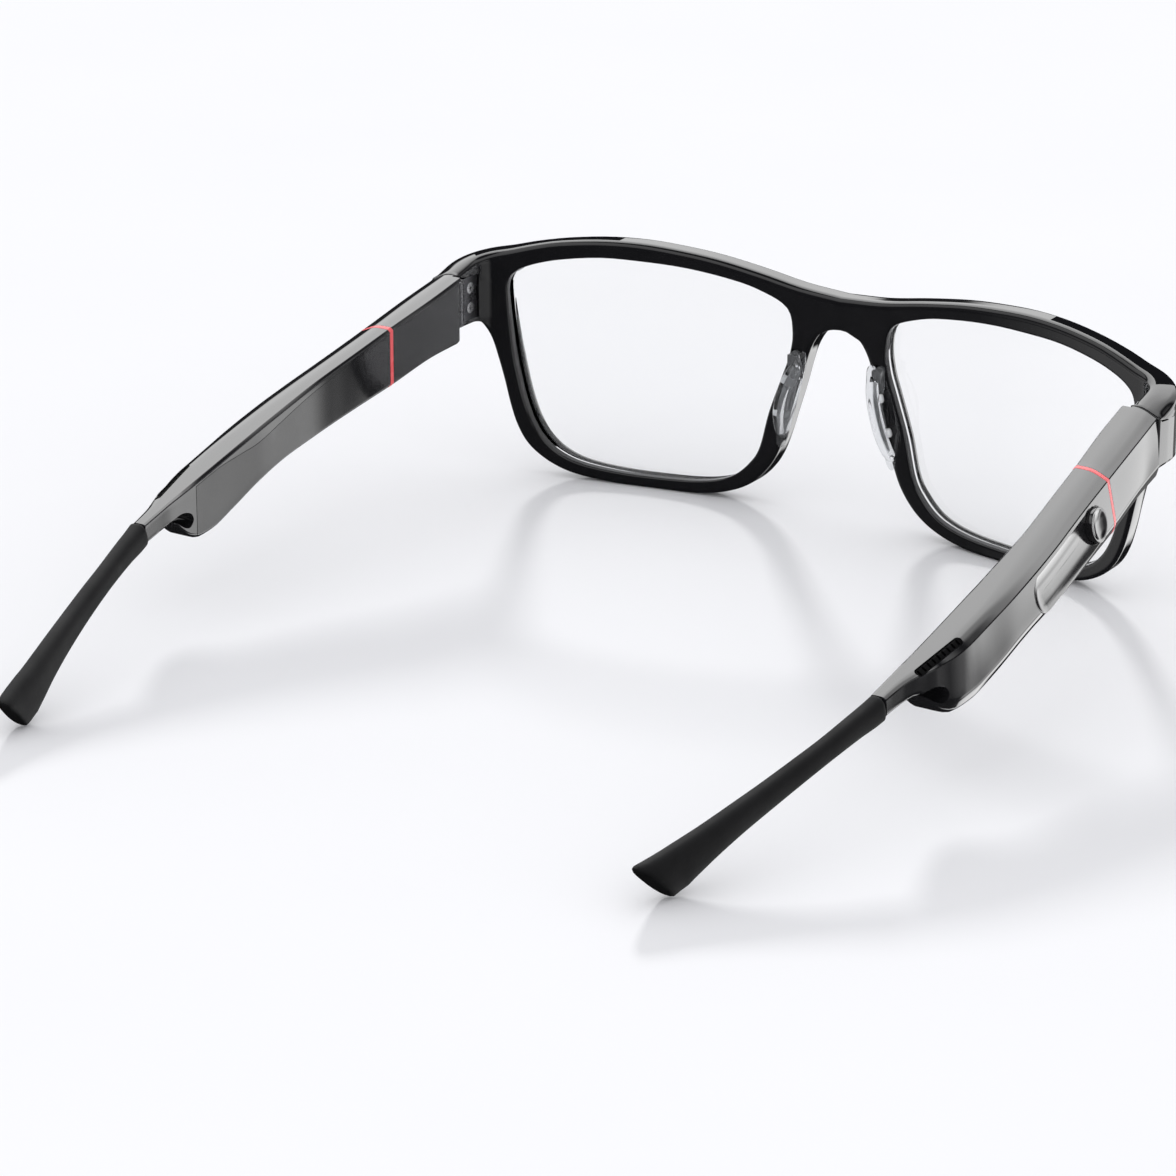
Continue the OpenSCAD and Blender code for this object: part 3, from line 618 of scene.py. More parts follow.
def build_lens(side, tag):
    """Curved lens whose edge sits in the rim's groove."""
    edge = opening(0.38, 8)
    centre = np.array([36.0, 22.0])
    verts, faces = [], []
    n = len(edge)
    shares = [0.998, 0.985, 0.95, 0.88, 0.76, 0.6, 0.42, 0.22]
    for t, flip in ((1.66, False), (3.12, True)):
        base = len(verts)
        for k, s in enumerate(shares):
            inset = 0.12 if k == 0 else 0
            for x, z in centre + (edge - centre) * s:
                tt = t + (-inset if flip else inset)
                verts.append([x, BY + WRAP - math.sqrt((WRAP + tt) ** 2 - x * x), z])
        mid_y = BY + WRAP - math.sqrt((WRAP + t) ** 2 - centre[0] ** 2)
        verts.append([centre[0], mid_y, centre[1]])
        for k in range(len(shares)):
            here, next_ring = base + k * n, base + (k + 1) * n
            for i in range(n):
                j = (i + 1) % n
                f = [here + i, here + j, next_ring + j, next_ring + i]
                if k == len(shares) - 1:
                    f = [here + i, here + j, len(verts) - 1]
                faces.append(f[::-1] if flip else f)
    half = len(verts) // 2
    for i in range(n):
        j = (i + 1) % n
        faces.append([i, half + i, half + j, j])
    ob = mesh_piece("lens_" + tag, verts, faces, side)
    finish_shading(ob, "lens", 60)
    ob.visible_shadow = False
    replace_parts(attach(ob, "front"), "lens_" + tag[0])


# ---- temples ----
# stations: v, then u of the inner face, the top's edge, the bevel's foot and the widest
# point, and z of the underside
ST = [[1.2, -1.7, 2.0, 4.7, 5.6, 26.5], [7.4, -1.3, 2.5, 5.2, 6.4, 26.0],
      [19, -0.1, 3.2, 6.0, 7.6, 23.55], [28.4, 0.7, 4.0, 6.7, 8.5, 21.9],
      [34, 1.2, 4.5, 7.2, 9.0, 20.85], [39.4, 1.6, 5.0, 7.7, 9.4, 19.8],
      [47.4, 1.8, 5.7, 8.2, 9.8, 18.4], [55.4, 1.9, 6.3, 8.4, 9.8, 16.2],
      [62.4, 1.9, 6.6, 8.3, 9.5, 13.7], [67.9, 1.9, 6.5, 8.2, 9.0, 12.0],
      [71.4, 1.9, 6.3, 7.8, 8.6, 11.7], [74.4, 1.9, 5.8, 7.1, 7.8, 12.65],
      [76, 1.9, 5.5, 6.8, 7.4, 13.8], [79.5, 1.9, 4.7, 5.6, 6.0, 16.4],
      [82, 1.85, 4.2, 4.9, 5.2, 15.9], [88, 1.75, 3.7, 4.2, 4.4, 14.6]]
ST = np.array(ST)


def station(v):
    return [float(pchip(ST[:, 0], ST[:, k], v)[0]) for k in range(1, 6)]


def rounded(poly, radii, seg=3):
    """Polygon with each corner rounded; each corner gives seg + 1 points."""
    p = np.array(poly, float)
    out = []
    for i in range(len(p)):
        a, b, c = p[i - 1], p[i], p[(i + 1) % len(p)]
        u, w = a - b, c - b
        lu, lw = np.linalg.norm(u), np.linalg.norm(w)
        u, w = u / lu, w / lw
        half = math.acos(max(-1, min(1, float(u @ w)))) / 2
        d = min(radii[i] / max(math.tan(half), 0.05), 0.45 * lu, 0.45 * lw)
        p0, p1 = b + u * d, b + w * d
        for s in np.linspace(0, 1, seg + 1):
            out.append((1 - s) ** 2 * p0 + 2 * s * (1 - s) * b + s * s * p1)
    return np.array(out)


def section(v, t, seam):
    """Section of the temple at v in u and z, t inside its skin, from the inner top edge."""
    a, b, c, d, z0 = station(v)
    z1, z0, a, b, c, d = roof(v) - t, z0 + t, a + t, b - 0.4 * t, c - t, d - t
    h = z1 - z0
    poly = [[a, z1 - 0.04 * h], [a + 0.5, z1], [b, z1], [c, z1 - 0.12 * h], [d, z0 + 0.22 * h],
            [d - 0.5, z0 + 0.07 * h], [d - 1.5, z0], [a + 0.6, z0], [a, z0 + 0.06 * h]]
    r = rounded(poly, [0.25, 0.25, 10, 0.12, 2.2, 1.0, 0.8, 0.5, 0.5])
    if seam:  # fine groove along the seam between the top and the outer face
        k = 3 * 4
        mid = r[k:k + 4].mean(0)
        n = np.array([0.75, 0.66])
        along_face = r[k + 3] - r[k]
        along_face /= np.linalg.norm(along_face)
        r[k], r[k + 3] = mid - along_face * 0.11, mid + along_face * 0.11
        r[k + 1] = mid - along_face * 0.05 - n * 0.16
        r[k + 2] = mid + along_face * 0.05 - n * 0.16
    return r


def loft(name, v0, v1, t=0.0, step=1.2, seam=True, side=1):
    """The temple's form from v0 to v1, t inside its skin."""
    n = max(2, int(round((v1 - v0) / step)) + 1)
    rings = []
    for v in np.linspace(v0, v1, n):
        s = section(v, t, seam)
        out = []
        for i, p in enumerate(s):
            q = s[(i + 1) % len(s)]
            out.append(p)
            # extra points down the tall faces
            parts = {15: 5, 35: 5, 7: 3, 11: 3}.get(i, 1)
            if i == 31 and np.linalg.norm(q - p) > 1.2:
                parts = 3
            for k in range(1, parts):
                out.append(p + (q - p) * k / parts)
        rings.append([[HX + u, HY + v, z] for u, z in out])
    verts, faces = rings_mesh(rings)
    return mesh_piece(name, verts, faces, side)


def prism(low, high, side):
    """Cutter between two equal outlines."""
    n = len(low)
    f = [[k, (k + 1) % n, n + (k + 1) % n, n + k] for k in range(n)]
    f += [list(range(n))[::-1], [n + k for k in range(n)]]
    return mesh_piece("cutter", low + high, f, side)


def side_prism(points, u0, u1, side=1):
    """Cutter: a side outline in v and z, from u0 to u1."""
    return prism(*[[[HX + u, HY + a, z] for a, z in points] for u in (u0, u1)], side)


def zone_prism(v0, v1, t, side=1):
    """Cutter: everything inboard of a plane t inside the inner face."""
    vs = np.linspace(v0, v1, max(3, int((v1 - v0) / 1.5)))
    pts = [[station(v)[0] + t, v] for v in vs] + [[station(v)[0] - 3, v] for v in vs[::-1]]
    return prism(*[[[HX + u, HY + v, z] for u, v in pts] for z in (5, 45)], side)


def rot(axis, deg):
    return np.array(Matrix.Rotation(math.radians(deg), 3, axis))


TILT = rot("X", -13.06)


def laid_box(u, v, drop, size, side):
    """Cutter: a box that slopes with the temple, its centre drop below the roof."""
    pts, f = box_verts([-s / 2 for s in size], [s / 2 for s in size])
    pts = pts @ TILT.T + [HX + u, HY + v, roof(v) - drop]
    return mesh_piece("cutter", pts, f, side)


# the outer face's own axes, with the button's centre as origin
FACE_V, FACE_DROP = 25.9, 4.85
FACE_R = rot("Z", -4.6) @ TILT @ rot("Y", -12.5)
FACE_O = np.array([HX + 7.77, HY + FACE_V, roof(FACE_V) - FACE_DROP])
FACE_AXES = FACE_R @ np.array([[0, 0, 1], [1, 0, 0], [0, 1, 0]], float)


def on_face(pts):
    """Points given along the outer face (rearwards, up, outwards) in the row frame."""
    return np.array(pts, float) @ FACE_AXES.T + FACE_O


def capsule_ring(r, length, n=20):
    """Outline of the touch area: two half circles and the lines between them."""
    a = np.linspace(math.pi / 2, 3 * math.pi / 2, n)
    left = np.stack([r * np.cos(a), r * np.sin(a)], 1)
    b = np.linspace(-math.pi / 2, math.pi / 2, n)
    right = np.stack([length + r * np.cos(b), r * np.sin(b)], 1)
    k = np.linspace(0, 1, 14)[1:-1][:, None]
    low = left[-1] + (right[0] - left[-1]) * k
    high = right[-1] + (left[0] - right[-1]) * k
    return np.vstack([left, low, right, high])


def circle(r, n):
    a = np.linspace(0, 2 * math.pi, n, endpoint=False)
    return np.stack([r * np.cos(a), r * np.sin(a)], 1)


def face_cutter(ring, z0, z1, side):
    """Cutter: an outline on the outer face, from z0 to z1 outwards."""
    rings = [on_face(np.column_stack([ring, np.full(len(ring), z)])) for z in (z0, z1)]
    return mesh_piece("cutter", *rings_mesh(rings), side)


# the parting line between cover and shell as v and depth below the roof
COVER_EDGE = smooth_line([[19.84, 0.8], [30, 0.95], [42, 1.3], [49, 1.8], [55, 2.2], [60, 1.6],
                          [65, 0.9], [68, 0.75], [76, 0.75]], 4)
# the hook-shaped speaker outlet in v and z
NOTCH = smooth_line([[83, 16.2], [79, 16.9], [76.4, 17.3], [74.2, 16.7], [73.4, 15.4],
                     [74.4, 14.3], [76, 14.75], [78, 16.1], [80, 16.45]], 5, True)
TAIL = 86.3  # rear end of the shell
TOUCH_LENGTH = 20.6  # between the centres of the touch area's ends


def cover_prism(drop, side):
    """Cutter: all that lies below the temple's parting line."""
    top = [[v, roof(v) - d - drop] for v, d in COVER_EDGE]
    return side_prism([[19.0, 5], [76, 5]] + top[::-1] + [[19.0, top[0][1] + 0.2]], -4, 8, side)


def cover_top_front(drop, side):
    """Cutter: all that lies below the arm's parting line."""
    top = [[v, roof(v) - 0.71 - drop] for v in (20, -3)]
    return side_prism([[-3, 20], [20, 20]] + top, -5, 5, side)


KNUCKLE = (((HX - 4, HY - 1, 20), (HX + 1.85, HY + 1.2, 37.75)),
           ((HX - 4, HY - 1, 30), (HX + 0.3, HY + 0.4, 42)),
           ((HX - 0.55, HY + 1, 29.35), (HX + 0.55, HY + 8.15, 35.85)))


def cut_knuckles(ob, side):
    """Makes room for the hinge's knuckles and the arm's leaf."""
    for lo, hi in KNUCKLE:
        cut(ob, box_cutter(lo, hi, side))


def cut_hollow(shell, v0, v1, ends, t, step, side):
    """Hollows the shell from v0 to v1, t below the roof."""
    hollow = loft("cutter", v0, v1, 1.1, step, False, side)
    a, b, low = ends
    room = [[a, low], [b, low], [b, roof(b) - t], [a, roof(a) - t]]
    cut(hollow, side_prism(room, -5, 12, side), "INTERSECT")
    cut(shell, hollow)


def build_arm(side, tag):
    """Short arm: the shell and its inner cover."""
    body, t = "arm_" + tag, tag[0]
    shell = loft("arm_top_" + tag, 0.06, 18.96, side=side)
    inside = zone_prism(0.9, 20, 1.02, side)
    cut(inside, cover_top_front(0, side), "INTERSECT")
    cut(shell, inside)
    cut_hollow(shell, 3.4, 17.6, (0, 20, 20), 1.3, 1.2, side)
    cut_knuckles(shell, side)
    cut(shell, laid_box(3.2, 18, 5.25, (1.84, 14.1, 5.44), side))
    finish_shading(shell, "temple", 30, 0.05)
    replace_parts(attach(shell, body), "arm_shell_" + t)

    cover = loft("arm_cover_" + tag, 1.22, 18.96, seam=False, side=side)
    inside = zone_prism(0.9, 20, 1.0, side)
    cut(inside, cover_top_front(0.05, side), "INTERSECT")
    cut(cover, inside, "INTERSECT")
    cut_knuckles(cover, side)
    finish_shading(cover, "cover", 30, 0.05)
    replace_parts(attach(cover, body), "arm_cover_" + t)


def build_ring(side, tag):
    """Coral band at the front of the detachable temple."""
    ob = loft("ring_band_" + tag, 19.0, 19.8, -0.03, step=0.2, seam=False, side=side)
    cut(ob, laid_box(3.2, 19, 5.25, (2.0, 9, 5.6), side))
    finish_shading(ob, "coral", 30, 0.06)
    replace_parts(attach(ob, "temple_" + tag), "ring_" + tag[0])


VENT_R = TILT @ rot("Z", 8) @ rot("Y", 24)


def vent_cutter(grow, side):
    """Cutter: the rounded slot in the top's outer bevel near the rear."""
    n = 10
    a = np.linspace(0, math.pi, n)
    r = 0.75 + grow
    end = np.stack([r * np.cos(a), 4.85 + r * np.sin(a)], 1)
    ends = np.vstack([end, -end])
    rings = []
    for z in (-1.6, 1.4):
        p = np.column_stack([ends, np.full(2 * n, z)]) @ VENT_R.T
        rings.append(p + [HX + 5.9, HY + 73.5, roof(73.5) - 0.75])
    return mesh_piece("cutter", *rings_mesh(rings), side)


def build_temple(side, tag):
    """Detachable temple: the shell and its inner cover."""
    body, t = "temple_" + tag, tag[0]
    shell = loft("temple_top_" + tag, 19.84, TAIL, side=side)
    inside = zone_prism(18.5, 72.6, 1.02, side)
    cut(inside, cover_prism(-0.03, side), "INTERSECT")
    cut(shell, inside)
    cut_hollow(shell, 21.1, 72.4, (15, 74, 5), 1.1, 3, side)
    cut(shell, face_cutter(capsule_ring(3.13, TOUCH_LENGTH), -2.4, 4, side))
    cut(shell, laid_box(3.2, 20, 5.25, (2.0, 9, 5.6), side))
    cut(shell, side_prism(NOTCH, -1, 12, side))
    cut(shell, vent_cutter(0.03, side))
    finish_shading(shell, "temple", 30, 0.05)
    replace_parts(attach(shell, body), "temple_shell_" + t)

    cover = loft("temple_cover_" + tag, 19.84, 74, seam=False, side=side)
    inside = zone_prism(18.5, 72.5, 1.0, side)
    cut(inside, cover_prism(0.04, side), "INTERSECT")
    cut(cover, inside, "INTERSECT")
    finish_shading(cover, "cover", 30, 0.06)
    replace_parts(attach(cover, body), "temple_cover_" + t)


def on_shell(ring, depth):
    """Outline laid on the shell's outer face, pushed in by depth."""
    p = on_face(np.column_stack([ring, np.zeros(len(ring))]))
    for q in p:
        v, z = q[1] - HY, q[2]
        a, b, c, d, z0 = station(v)
        h = roof(v) - z0
        zc, zd = roof(v) - 0.12 * h, z0 + 0.22 * h
        q[0] = HX + c + (d - c) * min(max((zc - z) / (zc - zd), 0), 1)
    return p - FACE_AXES[:, 2] * depth


def build_controls(side, tag):
    """Long dished touch area and round dished button on the outer face."""
    t, r = tag[0], 3.1
    # (depth below the face, share of the outline): the skirt, then the dish
    steps = [(1.1, 1.0), (0.25, 1.0), (0.05, 1.0)]
    for s in (0.998, 0.985, 0.95, 0.87, 0.75, 0.6, 0.45, 0.3, 0.15, 0.02):
        steps.append(((0.62 * (1 - (s / 0.985) ** 2) if s < 0.985 else 0.0) + 0.01, s))
    rings = [on_shell(capsule_ring(r * s, TOUCH_LENGTH), depth) for depth, s in steps]
    panel = mesh_piece("touch_dish_" + tag, *rings_mesh(rings), side)
    tidy(panel, 0.00002)
    cut(panel, face_cutter(circle(2.92, 48), -3, 3, side))
    finish_shading(panel, "touch", 35, 0.04)
    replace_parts(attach(panel, "temple_" + tag), "touch_panel_" + t)
    # the button's profile: radius and height above the face
    profile = [(0.01, -1.6), (0.9, -1.6), (0.9, -1.0), (2.8, -1.0), (2.8, 0.2), (2.76, 0.3),
               (2.66, 0.35), (2.5, 0.34), (2.2, 0.24), (1.8, 0.1), (1.3, -0.02), (0.8, -0.1),
               (0.4, -0.14), (0.01, -0.15)]
    rings = [on_face(np.column_stack([circle(r, 64), np.full(64, z)])) for r, z in profile]
    ob = mesh_piece("button_cap_" + tag, *rings_mesh(rings), side)
    finish_shading(ob, "button", 35)
    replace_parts(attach(ob, "button_" + tag), "button_" + t)


# ---- rubber tips ----
# stations: v, then the centre's u and z, width and height
TIP = [[86.32, 3.1, 16.63, 2.9, 4.0], [86.6, 3.05, 16.5, 3.3, 4.4], [92, 2.1, 15.1, 3.1, 4.0],
       [98, 0.95, 13.45, 3.0, 3.8], [104, -0.3, 11.8, 3.1, 4.0], [110, -1.65, 10.05, 3.2, 4.4],
       [116, -3.1, 8.25, 3.4, 5.0], [121, -4.35, 6.6, 3.6, 5.8], [125, -5.4, 5.2, 3.8, 6.8],
       [128.5, -6.25, 4.15, 3.9, 7.7], [130.4, -6.75, 3.95, 3.9, 7.5], [132, -7.1, 4.0, 3.7, 6.4],
       [133.6, -7.45, 4.5, 3.3, 4.8]]


def build_tip(side, tag):
    """Rubber tip that ends in a slanted cut."""
    t = np.array(TIP)
    n = 36
    cosq, sinq = circle(1.0, n).T
    shape = np.stack([np.sign(cosq) * np.abs(cosq) ** 0.8,
                      np.sign(sinq) * np.abs(sinq) ** 0.8], 1)
    up = np.array([0, math.sin(math.radians(14)), math.cos(math.radians(14))])

    def ring(v, grow):
        u, z, w, h = [float(pchip(t[:, 0], t[:, k], v)[0]) for k in range(1, 5)]
        ahead, before = [pchip(t[:, 0], t[:, 1], v + k)[0] for k in (0.5, -0.5)]
        du = float(ahead - before)
        e = np.array([1, -du, 0]) / math.hypot(1, du)
        return np.array([HX + u, HY + v, z]) + (shape[:, :1] * w / 2 * grow) * e \
            + (shape[:, 1:] * h / 2 * grow) * up

    rings = [ring(86.32, 0.93), ring(86.45, 0.985), ring(86.6, 1.0), ring(87, 1.0)]
    rings += [ring(v, 1.0) for v in np.linspace(88.5, 127, 30)]
    # the slanted end: sections lean back until they match the end face
    foot, head = np.array([129.1, 0.05]), np.array([135.85, 6.6])
    z127, h127 = [float(pchip(t[:, 0], t[:, k], 127)[0]) for k in (2, 4)]
    slant = np.array([math.sin(math.radians(14)), math.cos(math.radians(14))]) * h127 / 2
    low0, high0 = np.array([127, z127]) - slant, np.array([127, z127]) + slant
    # share of the way to the end face, and how far width and height have closed
    for s, wide, tall in ((0.25, 1.0, 1.0), (0.5, 1.0, 1.0), (0.75, 1.0, 1.0), (0.9, 0.97, 1.0),
                          (0.97, 0.9, 0.94), (1.0, 0.78, 0.84), (1.02, 0.6, 0.66),
                          (1.03, 0.3, 0.35), (1.032, 0.05, 0.06)):
        a = low0 + (foot - low0) * min(s, 1)
        b = high0 + (head - high0) * min(s, 1)
        mid, half = (a + b) / 2, (b - a) / 2 * tall
        v0 = mid[0] + (0.0 if s <= 0.97 else 0.707 * 0.06)
        u = float(np.interp(v0, [125, 128.5, 134], [-5.4, -6.25, -7.7]))
        pts = np.column_stack([HX + u + shape[:, 0] * (3.85 * wide) / 2,
                               HY + v0 + half[0] * shape[:, 1], mid[1] + half[1] * shape[:, 1]])
        pts[:, 0] -= 0.25 * min(s, 1) * (pts[:, 1] - (HY + v0))
        rings.append(pts)
    rings = np.array(rings)
    rings[..., 2] = np.maximum(rings[..., 2], 0.0)
    ob = mesh_piece("tip_rubber_" + tag, *rings_mesh(rings), side)
    tidy(ob, 0.000002)
    finish_shading(ob, "rubber", 50)
    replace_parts(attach(ob, "temple_" + tag), "tip_sleeve_" + tag[0])


# ---- nose pads ----
# the pad's side outline: distance behind the rim and height
PAD = smooth_line([[0, 28.2], [2.2, 27.6], [3.7, 25.5], [4.5, 22.5], [4.6, 19.5], [4.0, 16.5],
                   [2.9, 13.8], [1.4, 12.0], [0, 11.6]], 5, True)
PAD_R = rot("Z", -12) @ rot("Y", -14.5)


def pad_place(pts):
    """Pad points (thickness, rearwards, up) in the row frame."""
    return (np.array(pts, float) - [0, 0, 28]) @ PAD_R.T + [5.7, BY + 0.1, 28]


def behind(pts, gap):
    """Keeps points behind the front's back face."""
    back = BY + WRAP - np.sqrt(WRAP ** 2 - pts[:, 0] ** 2) + gap
    pts[:, 1] = np.maximum(pts[:, 1], back)
    return pts


def pillow(name, outline, u0, u1, round_in, gap, side, steps=6):
    """Slab with a side outline, from u0 to u1, whose edge draws in by round_in."""
    c = outline.mean(0)
    rings = []
    for k, sign in [(k, -1) for k in range(steps + 1)] + [(k, 1) for k in range(steps)][::-1]:
        a = math.radians(90 * k / steps)
        s = 1 - round_in * (1 - math.sin(a))
        u = (u0 + u1) / 2 + sign * ((u1 - u0) / 2 * math.cos(a))
        p = c + (outline - c) * s
        rings.append(behind(pad_place(np.column_stack([np.full(len(p), u), p])), gap))
    return mesh_piece(name, *rings_mesh(rings), side)


def build_pad(side, tag):
    """Nose pad with its tab in the rim, inner plate and two bosses."""
    t = tag[0]
    pad = pillow("nose_pad_soft_" + tag, PAD, 0.1, 2.2, 0.24, 0.07, side)
    hollow = smooth_line([[0.9, 26.4], [2.3, 25.2], [3.2, 22.5], [3.2, 19], [2.4, 15.5],
                          [0.9, 13.6]], 4, True)
    cut(pad, pillow("cutter", hollow, 1.0, 3.2, 0.05, -2, side, 3))
    for lo, hi in (((7.37, BY - 0.6, 24.57), (9.23, BY + 0.63, 29.53)),
                   ((7.37, BY + 0.5, 26.87), (9.23, BY + 1.88, 29.53))):
        cut(pad, box_cutter(lo, hi, side))
    finish_shading(pad, "pad", 40, 0.05)
    pad.visible_shadow = False
    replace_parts(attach(pad, "front"), "nose_pad_" + t)
    tab = [[7.4, 24.6], [9.2, 24.6], [9.2, 28.6], [8.9, 29.2], [8.3, 29.5], [7.7, 29.2],
           [7.4, 28.6]]
    rings = [[[x, BY + y, z] for x, z in tab] for y in (-0.45, 0.55, 0.6)]
    car = mesh_piece("pad_tab_" + tag, *rings_mesh(rings), side)
    tidy(car)
    cut(car, box_cutter((7.4, BY + 0.3, 26.9), (9.2, BY + 1.6, 28.9), side), "UNION")
    finish_shading(car, "carrier", 30, 0.12)
    plate_line = smooth_line([[0.95, 26.3], [2.25, 25.1], [3.1, 22.5], [3.1, 19], [2.35, 15.6],
                              [0.95, 13.8]], 4, True)
    plate = pillow("pad_plate_" + tag, plate_line, 1.05, 1.7, 0.04, 0.1, side, 2)
    slot_line = smooth_line([[1.6, 22.0], [2.1, 22.0], [2.1, 18.6], [1.6, 18.6]], 3, True)
    cut(plate, pillow("cutter", slot_line, 0.5, 2.5, 0.0, -2, side, 1))
    finish_shading(plate, "carrier", 40)
    carrier = [car, plate]
    for k, centre in enumerate(((1.9, 23.5), (1.75, 17.3))):
        rings = []
        for r, u in ((0.8, 1.62), (0.8, 2.2), (0.7, 2.4), (0.45, 2.5), (0.05, 2.52)):
            pts = np.column_stack([np.full(24, u), circle(r, 24) + centre])
            rings.append(behind(pad_place(pts), 0.1))
        ob = mesh_piece("pad_boss%d_%s" % (k, tag), *rings_mesh(rings), side)
        finish_shading(ob, "boss", 40)
        carrier.append(ob)
    for ob in carrier:
        ob.visible_shadow = False
        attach(ob, "front")
    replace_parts(car, "pad_carrier_" + t)


build_front()
for side, tag in ((1, "left"), (-1, "right")):
    build_lens(side, tag)
    build_arm(side, tag)
    build_ring(side, tag)
    build_temple(side, tag)
    build_controls(side, tag)
    build_tip(side, tag)
    build_pad(side, tag)

# ---- CAD nodes that stay, with better finishes ----
KEPT = {"leaf_front": "steel", "leaf_screws": "screw", "hinge_pin": "screw", "leaf_arm": "steel",
        "plug": "gold", "switch": "steel", "socket": "steel", "board": "board", "battery": "case",
        "speaker": "inner", "speaker_mesh": "mesh", "vent_mesh": "mesh", "microphone": "gold",
        "flex": "flex", "tip_core": "steel"}
for base, mat in KEPT.items():
    for t in "lr":
        dress(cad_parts[base + "_" + t], mat)

# ---- studio ----
scene = bpy.context.scene
half = 4000
corners = [[-half, -half, -0.02], [half, -half, -0.02], [half, half, -0.02], [-half, half, -0.02]]
floor = mesh_piece("floor", corners, [[0, 1, 2, 3]])
floor_mat, nt, p = new_material("floor_paper")
grain = node(nt, "ShaderNodeTexNoise", Scale=120.0, Detail=5.0).outputs["Fac"]
tone = blend(nt, grain, (0.83, 0.83, 0.84), (0.85, 0.85, 0.86))
nt.links.new(tone, p.inputs["Base Color"])
p.inputs["Roughness"].default_value = 1.0
p.inputs["Specular IOR Level"].default_value = 0.0
floor.data.materials.append(floor_mat)
floor.visible_glossy = False

world = bpy.data.worlds.new("studio")
scene.world = world
world.use_nodes = True
nt = world.node_tree
nt.nodes.clear()
link = nt.links.new
out = node(nt, "ShaderNodeOutputWorld")
direction = node(nt, "ShaderNodeSeparateXYZ")
link(node(nt, "ShaderNodeTexCoord").outputs["Generated"], direction.inputs[0])


def maths(op, a, b=None):
    m = node(nt, "ShaderNodeMath", operation=op)
    for k, x in enumerate((a, b)):
        if x is None:
            continue
        if isinstance(x, (int, float)):
            m.inputs[k].default_value = x
        else:
            link(x, m.inputs[k])
    return m.outputs[0]


def ramp(value, stops):
    """Piecewise ramp of an angle in degrees; stops are (angle, brightness)."""
    lo, hi = stops[0][0], stops[-1][0]
    r = node(nt, "ShaderNodeValToRGB")
    unit = node(nt, "ShaderNodeMapRange")
    unit.inputs["From Min"].default_value, unit.inputs["From Max"].default_value = lo, hi
    link(value, unit.inputs["Value"])
    link(unit.outputs["Result"], r.inputs["Fac"])
    e = r.color_ramp.elements
    for k, (a, c) in ((0, stops[0]), (1, stops[-1])):
        e[k].position, e[k].color = k, (c, c, c, 1)
    for a, c in stops[1:-1]:
        e.new((a - lo) / (hi - lo)).color = (c, c, c, 1)
    return r.outputs["Color"]


# azimuth from -Y towards -X and elevation, both in degrees
DEGREES = 57.2958
azimuth = maths("MULTIPLY", maths("ARCTAN2", maths("MULTIPLY", direction.outputs[0], -1.0),
                                  maths("MULTIPLY", direction.outputs[1], -1.0)), DEGREES)
elevation = maths("MULTIPLY", maths("ARCSINE", direction.outputs[2]), DEGREES)
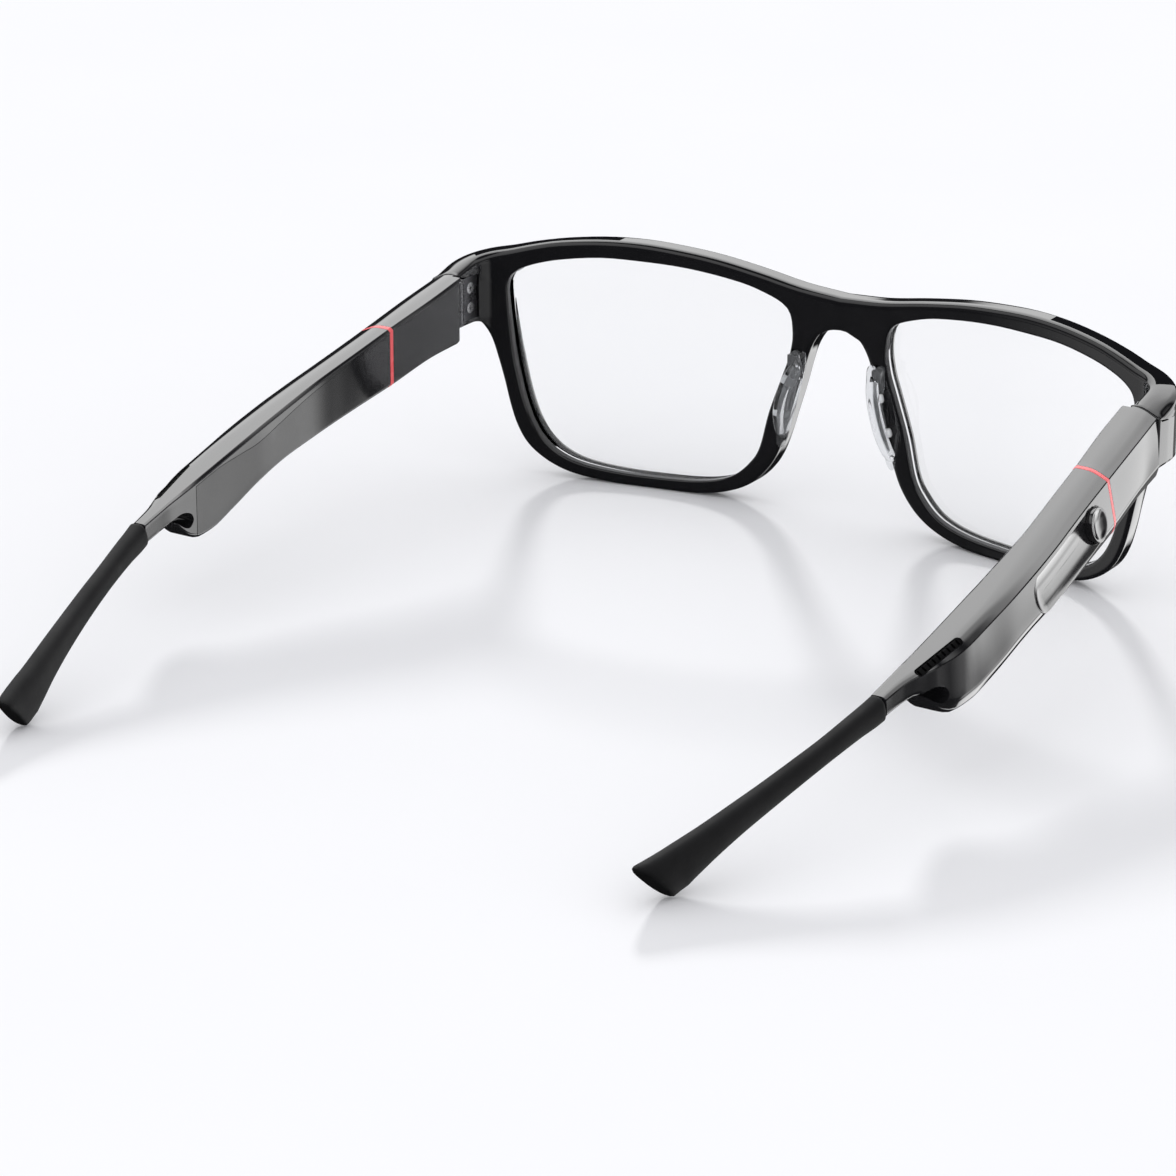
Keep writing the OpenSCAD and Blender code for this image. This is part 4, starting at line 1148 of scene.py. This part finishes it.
# soft cards that only reflections show: strength, then stops in azimuth and in elevation
CARDS = (
    # high in front: the temples' and the brow's tops
    (4.9, [(-180, 0), (-88, 0), (-80, 1), (0, 1), (16, 0.55), (27, 0.5), (36, 0), (180, 0)],
     [(-90, 0), (10, 0), (13, 0.5), (24, 0.72), (45, 1), (66, 1), (74, 0), (90, 0)]),
    # level on the right: the right temple's outer face
    (5.0, [(-180, 0), (14, 0), (20, 1), (36, 1), (47, 0.3), (60, 0.05), (90, 0), (180, 0)],
     [(-90, 0.0), (-40, 0.03), (-24, 0.08), (-16, 0.2), (-12, 1), (7, 1), (12, 0), (90, 0)]),
    # low on the right: the lower part of that face
    (4.6, [(-180, 0), (6, 0), (11, 1), (30, 1), (32.5, 0), (180, 0)],
     [(-90, 0), (-70, 0), (-60, 0.7), (-24, 1), (-18, 0.6), (-13, 0), (90, 0)]),
    # low and narrow: the left temple's inner face
    (3.8, [(-180, 0), (34, 0.1), (36.2, 0.34), (37.5, 0.5), (38.6, 1), (40.2, 0.6),
           (44.5, 0.3), (46.6, 0), (180, 0)],
     [(-90, 0), (-30, 0), (-26, 1), (-16, 1), (-13, 0), (90, 0)]),
    # behind and at the sides, for the other views
    (1.8, [(-180, 1), (-100, 1), (-92, 0), (40, 0), (50, 1), (180, 1)],
     [(-90, 0), (22, 0), (26, 0.7), (60, 1), (68, 0), (90, 0)]),
    (1.5, [(-180, 0), (-135, 0), (-120, 1), (-75, 0.7), (-62, 0), (70, 0), (84, 0.8),
           (120, 1), (135, 0), (180, 0)],
     [(-90, 0), (-40, 0), (-22, 0.4), (-6, 1), (4, 0.9), (15, 0), (90, 0)]),
)
cards = [maths("MULTIPLY", maths("MULTIPLY", ramp(azimuth, a), ramp(elevation, e)), strength)
         for strength, a, e in CARDS]
glow = cards[0]
for card in cards[1:] + [0.015]:
    glow = maths("ADD", glow, card)
reflected = node(nt, "ShaderNodeBackground")
link(glow, reflected.inputs["Strength"])
plain = node(nt, "ShaderNodeBackground", Strength=0.98)
plain.inputs["Color"].default_value = (0.97, 0.975, 1.0, 1)
# reflections see the cards, all other rays the plain background
path = node(nt, "ShaderNodeLightPath")
pick = node(nt, "ShaderNodeMixShader")
link(maths("MULTIPLY", path.outputs["Is Glossy Ray"],
           maths("SUBTRACT", 1.0, path.outputs["Is Transmission Ray"])), pick.inputs["Fac"])
link(plain.outputs[0], pick.inputs[1])
link(reflected.outputs[0], pick.inputs[2])
link(pick.outputs[0], out.inputs[0])

# the low key light that throws the long soft shadows
sun_data = bpy.data.lights.new("key", "SUN")
sun_data.energy, sun_data.angle = 1.65, math.radians(7)
sun = bpy.data.objects.new("key", sun_data)
scene.collection.objects.link(sun)
sun.rotation_mode = "QUATERNION"
sun.rotation_quaternion = Vector((0.515, -0.765, 0.39)).to_track_quat("Z", "Y")
sun.visible_glossy = sun.visible_transmission = False

# ---- camera ----
cam_data = bpy.data.cameras.new("camera")
cam = bpy.data.objects.new("camera", cam_data)
scene.collection.objects.link(cam)
yaw, pitch = -0.57243, 0.36213  # solved from the photograph, in radians
d = Vector((-math.sin(yaw) * math.cos(pitch), -math.cos(yaw) * math.cos(pitch), -math.sin(pitch)))
r = d.cross(Vector((0, 0, 1))).normalized()
u = r.cross(d)
m = Matrix((r, u, -d)).transposed().to_4x4()
m.translation = Vector((-386.739, BY + 679.086, 283.070)) * MM
cam.matrix_world = m
cam_data.sensor_width, cam_data.lens = 36.0, 146.94
cam_data.clip_start, cam_data.clip_end = 0.01, 100
scene.camera = cam
scene.view_settings.view_transform = "Standard"

bpy.context.view_layer.update()
